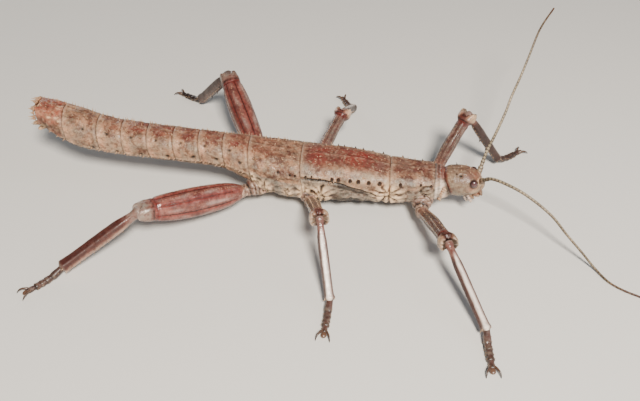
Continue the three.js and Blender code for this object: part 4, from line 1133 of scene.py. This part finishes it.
def makeThigh(name, pair, root, knee):
    size, paintedShade, stout = legPairs[pair], shade[name][0], pair == "hind"
    look = thighLook["stout" if stout else "slim"]
    length, bow, ridges = size["femur"], size["bow"], size["ridges"]
    table = thighTable(size, look, stout)
    square = 2.5   # a little boxier than the other limbs

    def groove(angle):   # 1 on a ridge and 0 in the narrow furrow between two
        return np.abs(np.sin(ridges * angle / 2 + 0.4)) ** 0.5

    def detail(x, angle, flat):
        shaft = step(x, length * 0.06, length * 0.18) * (1 - step(x, length * 0.8, length * 0.9))
        ridged = size["ridge"] * (1.6 * groove(angle) - 1.2) * shaft
        kneeBand = -0.22 * bell(x, length * 0.86, 0.3)
        lobes = 0.28 * bell(np.abs(np.sin(angle)), 1.0, 0.35) * step(x, length * 0.88, length * 0.94)
        notch = -0.35 * bell(angle, 0.0, 0.45) * step(x, length - 0.8, length + 0.4)
        under = -0.5 * bell(np.abs(angle), math.pi, 0.5) * step(x, length - 1.2, length + 0.2)
        return ridged + kneeBand + lobes + notch + under + wrinkles(flat, 1.0, 0.05, 11.0)

    def paint(x, angle, flat):
        shaft = step(x, length * 0.05, length * look["shaftEnd"])
        shaft = shaft * (1 - step(x, length * 0.82, length * 0.88))
        drift, streak, ridge = cloud(flat, 1.6, 12.0), streaks(x, angle, 0.25, 2.5), groove(angle)
        sideways = np.abs(np.sin(angle))
        lobe = step(x, length * 0.89, length * 0.95)
        inside = step(x, length + look["hollowFrom"][0], length + look["hollowFrom"][1])
        hollow = np.maximum(inside, look["kneeHollow"] * lobe * (1 - step(sideways, 0.3, 0.7)))
        plain = 0.12 if stout else 0.5 * shaft
        return {
            # ridge: paler crests along the thigh ridges, partly their own colour and partly painted highlight
            "ridge": look["crest"] * step(ridge, 0.8, 1.0) * shaft * step(streak, 0.4, 0.8)
                     + look["kneeCrest"] * lobe * step(drift, 0.5, 0.8),
            "crimson": look["crimson"] * (1 - step(ridge, 0.5, 0.95)) * shaft
                       + 0.85 * bell(x, length * 0.86, 0.7) + 0.8 * hollow,
            "dark": look["furrow"] * (1 - step(ridge, 0.1, 0.5)) * shaft + plain * drift * (1 - lobe)
                    + paintedShade + 0.85 * bell(x, length * 0.895, 0.2) + 0.65 * hollow
                    + look["kneeCrease"] * lobe * creased(flat, 0.9, 19.0),
            "mauve": look["mauve"] * drift + look["kneeMauve"] * bell(x, length * 0.88, 0.5),
            "cream": look["kneeCream"] * lobe * bell(sideways, 1.0, 0.45) * (0.6 + 0.4 * drift)
                     + 0.4 * (1 - step(x, 0.6, look["rootCream"])) * drift,
            "grey": lobe * (0.6 + 0.4 * drift) if stout else 0.75 * shaft * (0.6 + 0.4 * ridge),
        }

    def lobed(x, angle, full):   # lobes at both sides of the knee, open above and below, hollow between
        end = step(x, length - 1.3, length + 0.3)
        frill = look["frill"] * np.sin(11 * angle + 1.0)
        lobes = (0.75 * np.sin(angle) ** 2 + frill - 0.7 * bell(angle, 0.0, 0.7)
                 - 0.9 * bell(np.abs(angle), math.pi, 0.7))
        return end * lobes - look["open"] * step(x, length, length + 0.7) * (1 - full) ** 1.2

    thigh = limb("thigh_" + name, root, knee, table, "glossyLegCuticle", detail, paint, rows=look["rows"],
                 around=look["around"], square=square, bow=bow, domes=(0.5, 0.9), slide=lobed)
    axes = limbFrame(root, knee)
    limbSpine("pale", axes, table, look["ringEnd"] * 0.7, math.pi, 0.25, 0.9, 0.7, rise=-0.1)
    trochanter = makeTrochanter(name, root, knee, look)

    def rise(x):
        return bow * math.sin(math.pi * ((x - 0.2) / (length + 0.5)))

    teeth = int(length / 1.15)
    crests = [(math.pi * (1 + 2 * k) - 0.8) / ridges for k in (-2, -1, 0, 1, ridges // 2, -ridges // 2)]
    for k in range(teeth):   # fine pale tubercles along the ridges
        x = length * 0.14 + k * length * 0.68 / teeth
        for angle, tall in zip(crests, (0.22, 0.3, 0.34, 0.24, 0.3, 0.3)):
            limbSpine("pale", axes, table, x + dice.uniform(-0.3, 0.3), angle + dice.uniform(-0.05, 0.05),
                      0.3, tall * dice.uniform(0.6, 1.2), look["tooth"], square, rise(x))
    for place in (0.4, 0.58, 0.76):   # the larger thorns underneath
        x = length * place
        limbSpine("dark", axes, table, x, math.pi, 0.35, 0.75, 0.36, square, rise(x))
    for side in (-1, 1):   # knobs on the rim of each knee lobe
        for angle, x in ((1.0, length + 0.2), (1.75, length + 0.35), (0.6, length * 0.96)):
            limbSpine("pale", axes, table, x, side * angle, 0.6, 0.5, 0.24, square, rise(x), sink=0.3)
    return [thigh, trochanter]


def makeTrochanter(name, root, knee, look):   # the short ring between hip and thigh
    end = look["ringEnd"]
    table = [(-1.0, 1.3, 1.3, 1.3), (0.2, 1.6, 1.5, 1.55), (end * 0.5, look["ringWide"], 1.5, 1.5),
             (end, look["ringTip"], 1.2, 1.2)]

    def paint(x, angle, flat):
        drift = cloud(flat, 0.9, 3.0)
        return {"cream": 0.1 + 0.35 * step(drift, 0.4, 0.7), "mauve": 0.55 * (1 - drift), "salmon": 0.2,
                "ridge": 0.3 * drift * (1 - step(x, 1.0, 2.6)),
                "dark": 0.12 + 0.5 * creased(flat, 1.3, 6.0) + look["ringDark"] * step(x, 0.8, 2.4)
                        + 0.7 * bell(x, 0.55, 0.22)}

    return limb("trochanter_" + name, root, knee, table, "softJointMembrane", wrinkled(0.8, 0.1, 6.0), paint,
                rows=20, around=48, domes=(0.6, 0.7))


shinLook = {
    "table": (   # x as a share of the length and as mm more, then wide, up, down as shares of the thickness
        (0, -0.9, 0.8, 0.8, 0.8), (0, 0.1, 0.98, 0.95, 0.9), (0.07, 0, 0.76, 0.74, 0.76),
        (0.14, 0, 0.8, 0.82, 0.8), (0.3, 0, 1, 1, 1.05), (0.85, 0, 1, 0.95, 1.02), (0.96, 0, 1.04, 1, 1),
        (1, 0.5, 0.8, 0.8, 0.8)),
    "stout": {"edge": 0.2, "crimson": 0.65, "dark": 0.65, "grey": 0.7, "kneeMauve": 0.0},
    "slim": {"edge": 0.14, "crimson": 0.4, "dark": 0.7, "grey": 0.3, "kneeMauve": 0.8},
    "teeth": 12, "thorns": (0.5, 0.7),
}


def makeShin(name, pair, knee, ankle):
    paintedShade, stout = shade[name][1], pair == "hind"
    look = shinLook["stout" if stout else "slim"]
    thick, length = legPairs[pair]["shin"], legPairs[pair]["tibia"]
    table = [(length * share + more, thick * wide, thick * up, thick * down)
             for share, more, wide, up, down in shinLook["table"]]

    def carina(angle):   # sharp lengthwise edges, with flat faces between them
        return 1 - np.abs(np.sin(2.5 * angle + 1.2)) ** 0.8

    def detail(x, angle, flat):
        shaft = step(x, length * 0.12, length * 0.24) * (1 - step(x, length - 1.2, length - 0.4))
        edge = look["edge"] * (carina(angle) - 0.35) * shaft
        return edge + 0.2 * bell(x, length - 0.5, 0.5) + wrinkles(flat, 0.8, 0.03, 14.0)

    def paint(x, angle, flat):
        drift, streak = cloud(flat, 1.2, 15.0), streaks(x, angle, 0.45, 3)
        shaft = step(x, length * 0.1, length * 0.22)
        paintedHighlightFace, lower = np.zeros(len(x)), np.zeros(len(x))
        if stout:
            lower = step(-np.cos(angle), -0.25, 0.3)
        else:   # a painted highlight along the flat top face, with darker flanks beside it
            paintedHighlightFace = bell(angle + 0.12 + 0.25 * (streak - 0.5), 0.0, 0.42 + 0.1 * step(x, length * 0.2, length))
        return {
            "ridge": np.clip(2.1 * paintedHighlightFace * shaft * (0.5 + 0.5 * step(streak, 0.25, 0.6)) * (1 - paintedShade), 0, 1),
            "crimson": look["crimson"] * shaft * (1 - paintedHighlightFace) * (1 - lower) * streak,
            "dark": np.minimum(look["dark"] * shaft * (1 - paintedHighlightFace) * (1 - lower) + paintedShade, 0.9),
            "grey": np.clip(look["grey"] * (1 - shaft) + 0.55 * lower * shaft, 0, 1) * (1 - paintedShade),
            "mauve": 0.6 * shaft * (1 - lower) * (1 - step(paintedHighlightFace, 0.0, 0.5))
                     + look["kneeMauve"] * (1 - step(x, 1.0, 2.6)),
            "cream": (0.4 * lower * shaft * drift + 0.35 * step(x, length - 0.9, length)) * (1 - paintedShade),
        }

    shin = limb("shin_" + name, knee, ankle, table, "glossyLegCuticle", detail, paint, rows=70, around=44,
                domes=(0.6, 1.0))
    axes = limbFrame(knee, ankle)
    for place in shinLook["thorns"]:
        limbSpine("dark", axes, table, length * place, math.pi, 0.7, 0.75, 0.3)
    for k in range(shinLook["teeth"]):   # a saw of small teeth on the two lower edges
        for angle in (2.5, -2.5):
            limbSpine("pale", axes, table, length * (0.2 + 0.062 * k) + dice.uniform(-0.15, 0.15), angle, 0.6,
                      dice.uniform(0.2, 0.42), 0.12)
    for across, lift in ((1, 0.5), (-1, 0.5), (1, -0.6), (-1, -0.6)):   # spurs round the ankle
        limbSpine("pale", axes, table, length - 0.8, math.atan2(across, lift), 1.0, 1.0, 0.3, sink=0.2,
                  outward=0.6)
    return [shin]


def routePoint(points, t):   # a smooth curve through the points, t from 0 to 1
    points = np.array(points, float)
    marks = np.concatenate([[0], np.cumsum(np.linalg.norm(np.diff(points, axis=0), axis=1))])
    table = np.column_stack([marks / marks[-1], points])
    return stationValues(table, np.atleast_1d(t))[:, 1:]


footShape = {"ends": (0.0, 0.34, 0.51, 0.66, 0.79, 1.02), "thick": 1.15, "arch": 1.25, "sole": 0.78}


def makeFoot(name, ankle, claw):   # five joints, each swollen towards its far end, with a pad under it
    route = [tuple(ankle)]
    for part, height in ((0.24, "arch"), (0.55, "sole"), (0.86, "sole")):
        route.append((*ankle.lerp(claw, part).xy, footShape[height]))
    paintedShade, ends = 0.5 * shade[name][1], footShape["ends"]
    pieces = []
    for k in range(5):
        start, end = (Vector(routePoint(route, min(at, 1.0))[0]) for at in ends[k:k + 2])
        length, last = (end - start).length, k == 4
        girth = footShape["thick"] * (0.6 if last else 0.78)
        table = [(-0.5, girth * 0.86, girth * 0.8, girth * 0.86),
                 (length * 0.35, girth * 0.92, girth * 0.84, girth * 0.95),
                 (length * 0.85, girth * (1.0 if last else 1.02), girth * 0.9, girth * 1.1),
                 (length + 0.4, girth * 0.86, girth * 0.8, girth * 0.95)]

        def detail(x, angle, flat):
            pad = 0.16 * bell(np.abs(angle), math.pi, 0.7) * bell(x, length * 0.75, length * 0.3)
            cleft = -0.1 * bell(angle, 0.0, 0.35) * step(x, length * 0.75, length + 0.2)
            return pad + cleft + wrinkles(flat, 0.6, 0.05, 20.0 + k)

        def paint(x, angle, flat):
            drift = cloud(flat, 0.7, 17.0)
            return {"dark": 0.55 + paintedShade + 0.35 * (1 - drift) + 0.2 * bell(x, length + 0.1, 0.3),
                    "cream": 0.5 * bell(x, length * 0.9, 0.35) * drift, "mauve": 0.3, "grey": 0.4 * drift,
                    "ridge": 0.1 * step(drift, 0.5, 0.8)}

        pieces.append(limb(f"toe{k + 1}_{name}", start, end, table, "glossyLegCuticle", detail, paint,
                           rows=18, around=22, square=2.2, domes=(0.2, 0.35)))
        for side in (-1, 1):   # a few short bristles
            for x in (length * 0.45, length * 0.8):
                limbSpine("pale", limbFrame(start, end), table, x, side * dice.uniform(1.0, 1.9), 0.8,
                          dice.uniform(0.25, 0.45), 0.07)
    return pieces


def tube(name, route, rows, around, radius, material, paint):
    # radius(t) and paint(t, angle) are read along the route
    ball, along, angle, shut = ballGrid(name, rows, around)
    middle = routePoint(route, along)
    fore, aft = (routePoint(route, np.clip(along + nudge, 0, 1)) for nudge in (0.004, -0.004))
    ahead = fore - aft
    ahead = ahead / np.linalg.norm(ahead, axis=1)[:, None]
    left = np.cross(np.array([0.0, 0.0, 1.0]), ahead)
    left = left / np.linalg.norm(left, axis=1)[:, None]
    up = np.cross(ahead, left)
    size = radius(along) * np.where(shut, 0.0, 1.0)
    points = middle + (np.sin(angle) * size)[:, None] * left + (np.cos(angle) * size)[:, None] * up
    points[:, 2] = np.maximum(points[:, 2], floorGap)
    return finishShape(ball, points, paint(along, angle), material)


clawShape = {
    "from": 0.84,   # share of the way from ankle to claw
    "hook": ((-0.3, 0.2, 0.85), (0.6, 0.75, 1.25), (1.5, 1.3, 1.15), (2.2, 1.55, 0.65), (2.5, 1.6, 0.12)),
    "thick": 0.3,
    "pad": ((-0.3, 0, 0.62), (1.6, 0, 0.5)),
    "padTable": ((0, 0.35, 0.35, 0.35), (0.9, 0.6, 0.5, 0.55), (1.6, 0.62, 0.42, 0.5), (2.0, 0.4, 0.3, 0.35)),
}


def makeClaws(name, ankle, claw):   # a pair of hooks and the round pad between them
    ahead = (claw - ankle)
    ahead.z = 0
    ahead.normalize()
    left = Vector((0, 0, 1)).cross(ahead)
    root = ankle.lerp(claw, clawShape["from"])

    def reach(forward, across, height):
        spot = root + ahead * forward + left * across
        return (spot.x, spot.y, height)

    def radius(t):
        return clawShape["thick"] * (1 - t) ** 0.7 + 0.05 * np.sqrt(np.clip(1 - t, 0, 1)) + 0.015

    def paint(t, angle):
        return {"tip": t}

    pieces = []
    for side in (-1, 1):
        route = [reach(forward, side * across, height) for forward, across, height in clawShape["hook"]]
        pieces.append(tube(f"hook{side}_{name}", route, 26, 14, radius, "clawHorn", paint))
    start, end = (Vector(reach(*place)) for place in clawShape["pad"])
    pieces.append(limb("pad_" + name, start, end, clawShape["padTable"], "clawHorn", wrinkled(0.4, 0.05, 1.0),
                       rows=20, around=24, domes=(0.3, 0.5)))
    return joinPieces(pieces, "claws_" + name + "_pair")


def makeLegs():
    skinPieces = []
    for pair in legPairs:
        for side, out in (("right", -1), ("left", 1)):
            name = f"{pair}_{side}"
            top, root, knee, ankle, claw = legJoints(name, pair, out)
            skinPieces += makeHip(name, top, root) + makeThigh(name, pair, root, knee)
            skinPieces += makeShin(name, pair, knee, ankle) + makeFoot(name, ankle, claw)
            wear(makeClaws(name, ankle, claw), "claw", "claws_" + name)
            print("leg", name)
    return skinPieces


eyeBall = {"squash": (0.96, 0.76, 1.0), "proud": 0.02, "paintedSheenWay": (0.25, 0.9, 0.35), "paintedSheenRange": (0.45, 0.95)}


def makeEye(side):
    x, y, z = headLook["eye"]
    ball = ballGrid("lens" + str(side), 30, 40)[0]
    spots = readVectors(ball.data, "co")
    # the paler heart is a painted sheen on the side of the eye facing out, up and forward
    outward = np.array(eyeBall["paintedSheenWay"]) * (1, side, 1)
    facing = spots @ (outward / np.linalg.norm(outward))
    middle = np.array([x, side * (y + eyeBall["proud"]), z])
    points = spots * headLook["eyeRadius"] * eyeBall["squash"] + middle
    return finishShape(ball, points, {"dark": step(facing, *eyeBall["paintedSheenRange"])}, "compoundEyeLens")


mouthParts = {
    "upperLip": {"from": (45.7, 0, 9.3), "to": (46.8, 0, 6.9), "red": 0.5, "rows": 24, "around": 32,
                 "domes": (0.4, 0.6), "table": ((0, 1.3, 0.4, 0.5), (1.4, 1.55, 0.42, 0.5),
                                                (2.7, 1.25, 0.3, 0.35))},
    "lowerLip": {"from": (41.8, 0, 7.5), "to": (44.9, 0, 6.2), "red": 0.3, "rows": 24, "around": 32,
                 "domes": (0.6, 0.6), "table": ((0, 1.3, 0.5, 0.5), (1.8, 1.35, 0.5, 0.5),
                                                (3.3, 0.8, 0.35, 0.35))},
    "jaw": {"from": (44.2, 1.7, 8.6), "to": (46.2, 0.35, 6.5), "red": 0.8, "rows": 24, "around": 28,
            "domes": (0.5, 0.5), "table": ((0, 0.8, 0.75, 0.75), (1.6, 0.85, 0.7, 0.7),
                                           (3.3, 0.3, 0.3, 0.3))},
    "lobe": {"from": (43.1, 1.6, 8.1), "to": (44.8, 1.1, 6.0), "red": 0.4, "rows": 20, "around": 24,
             "domes": (0.4, 0.4), "table": ((0, 0.55, 0.55, 0.55), (1.4, 0.55, 0.5, 0.5),
                                            (2.8, 0.3, 0.25, 0.25))},
}


def makeMouthPart(part, name, side):
    look = mouthParts[part]
    start, end = (Vector((x, side * y, z)) for x, y, z in (look["from"], look["to"]))

    def paint(x, angle, flat):
        return {"crimson": look["red"] * (0.6 + 0.4 * grain(flat, 0.8, 2.0)), "dark": 0.7 * bell(x, 0.0, 0.5),
                "cream": 0.3 * step(grain(flat, 0.7, 6.0), 0.0, 0.4)}

    return limb(name, start, end, look["table"], "smoothHeadCuticle", wrinkled(0.6, 0.08, 4.0), paint,
                rows=look["rows"], around=look["around"], domes=look["domes"])


def makeMouth():
    pieces = [makeMouthPart(part, part, 1) for part in ("upperLip", "lowerLip")]
    for side in (-1, 1):
        pieces += [makeMouthPart(part, f"{part}{side}", side) for part in ("jaw", "lobe")]
    return joinPieces(pieces, "mouth")


palps = {   # roots, knees and tips of the jointed feelers of the mouth, and half their thickness
    "maxillary": (((42.9, 2.0, 7.9), (43.7, 2.8, 6.9), (44.2, 2.4, 5.9)), 0.4),
    "labial": (((42.0, 0.9, 7.4), (42.6, 1.4, 6.1), (43.2, 1.1, 5.0)), 0.34),
}
palpJoints = 4


def ringed(t, count, width):   # 1 at each of the joints that divide a tube
    place = np.mod(t * count, 1.0)
    return bell(place, 0.0, width) + bell(place, 1.0, width)


def makePalp(kind, side):
    route, thick = palps[kind]
    route = [(x, side * y, z) for x, y, z in route]

    def radius(t):
        ends = np.sqrt(np.clip(1 - (2 * t - 1) ** 14, 0.03, 1))
        return thick * (0.85 + 0.15 * np.sin(math.pi * t)) * (1 - 0.3 * ringed(t, palpJoints, 0.1)) * ends

    def paint(t, angle):
        return {"ridge": 0.4 + 0.5 * step(t, 0.6, 1.0), "mauve": 0.6 * (1 - t),
                "dark": 0.5 * ringed(t, palpJoints, 0.12)}

    return tube(f"palp_{kind}_{side}", route, 44, 20, radius, "softJointMembrane", paint)


feelers = {
    "right": [(45.3, -0.9, 11.5), (46.2, -2.15, 12.95), (48.1, -3.7, 14.9), (51.5, -5.5, 15.1),
              (56.5, -8, 14.1), (62.7, -11.2, 11.1), (67, -13.4, 7.2), (71, -15.5, 3.8), (74.3, -17.4, 0.95),
              (77.3, -21.2, 0.3), (80.3, -23.5, 0.3), (84.6, -25.5, 0.3)],
    "left": [(45.2, 1.2, 11.9), (47.1, 7, 15.5), (48.3, 9.7, 16.9), (49.7, 12.9, 18.7), (51.5, 16.8, 22),
             (52.5, 19.2, 24.8), (54.8, 24.3, 28.9), (56.4, 27.8, 32.8), (58.6, 33, 37.6),
             (62.8, 42.4, 39.5)],
}
feelerShape = {"joints": 58, "root": 0.46, "tip": 0.25, "scape": 0.055}   # scape: the first joint's share


def makeFeeler(side):   # a stout first joint, a bead, then many short rings
    count, scape = feelerShape["joints"], feelerShape["scape"]

    def radius(t):
        thin = feelerShape["root"] + (feelerShape["tip"] - feelerShape["root"]) * t ** 0.8
        stout = 0.26 * (1 - step(t, scape * 0.8, scape)) + 0.12 * bell(t, scape * 1.35, scape * 0.25)
        end = np.sqrt(np.clip((1.004 - t) / 0.01, 0.02, 1)) * np.sqrt(np.clip((t + 0.002) / 0.01, 0.02, 1))
        return (thin + stout) * (1 - 0.13 * ringed(t, count, 0.16)) * end

    def paint(t, angle):
        near = 1 - step(t, scape * 0.8, scape * 1.2)
        dusk = 0.5 + 0.5 * np.sin(t * 41.0)
        fade = (1 - near) * (1 - step(t, 0.5, 0.9))
        # a painted highlight along the top, and painted shade underneath beyond the first joint
        paintedTopHighlight, under = bell(angle, 0.0, 0.8), step(np.abs(angle), 1.5, 2.1)
        rings = (0.55 + 0.35 * (1 - step(t, 0.1, 0.3))) * ringed(t, count, 0.16) * (1 - 0.3 * near)
        return {"dark": rings + 0.2 * dusk + (0.2 + 0.45 * under) * (1 - near), "cream": 0.1 * fade,
                "mauve": 0.8 * near + 0.4 * step(t, 0.55, 1.0), "ridge": paintedTopHighlight * (0.45 * near + 0.5 * fade),
                "crimson": 0.3 * step(t, 0.75, 1.0)}

    return tube("feeler_" + side, feelers[side], 420, 14, radius, "fineFeelerCuticle", paint)


tailLeaf = {
    "root": (-70.9, 3.0, 16.6), "spread": 1.4, "reach": (-2.4, 0.3, -1.2),
    "table": ((-1.0, 0.7, 0.6, 0.6), (0.6, 0.8, 0.6, 0.6), (1.8, 0.78, 0.5, 0.5), (2.7, 0.45, 0.3, 0.3)),
}


def makeTailLeaf(side):
    x, y, z = tailLeaf["root"]
    ahead, across, up = tailLeaf["reach"]
    root = Vector((x, y + side * tailLeaf["spread"], z))
    tip = root + Vector((ahead, side * across, up))

    def paint(x, angle, flat):
        return {"cream": 0.7, "salmon": 0.4, "dark": 0.3 * bell(x, 0.4, 0.4)}

    return limb(f"tailLeaf{side}", root, tip, tailLeaf["table"], "matteBodyCuticle", wrinkled(0.6, 0.1, 3.0),
                paint, rows=22, around=28, domes=(0.3, 0.5))


def makeSmallParts():
    for side, sign in (("left", 1), ("right", -1)):
        wear(makeEye(sign), "eye", "eye_" + side)
        for kind in palps:
            wear(makePalp(kind, sign), "mouthparts", f"{kind}_palp_{side}")
        wear(makeFeeler(side), "antenna", *(f"antenna_{side}_{part}" for part in ("base", "middle", "tip")))
        wear(makeTailLeaf(sign), "pale_cuticle", "cercus_" + side)
    wear(makeMouth(), "mouthparts", "mouthparts")
    print("eyes, mouth, feelers and tail")


flesh = {
    "triangles": 195000,
    "nodes": ("head", "prothorax", "mesothorax", "metathorax", "abdomen", "coxa", "femur", "tibia", "foot"),
}

makeCamera()
makeStudio()
print("camera and studio")
skin = makeAbdomen() + makeThorax() + makeCollar() + makeHead() + makeLegs()
makeSmallParts()
whole = joinPieces(skin, "skin")
markRelief(whole)
whole = thinned(whole, flesh["triangles"])
wear(whole, "body_cuticle", *(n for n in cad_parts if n.split("_")[0] in flesh["nodes"]))
print("skin", triangles(whole), "triangles")
for kind in spines:
    wear(makeSpines(kind), "body_cuticle")
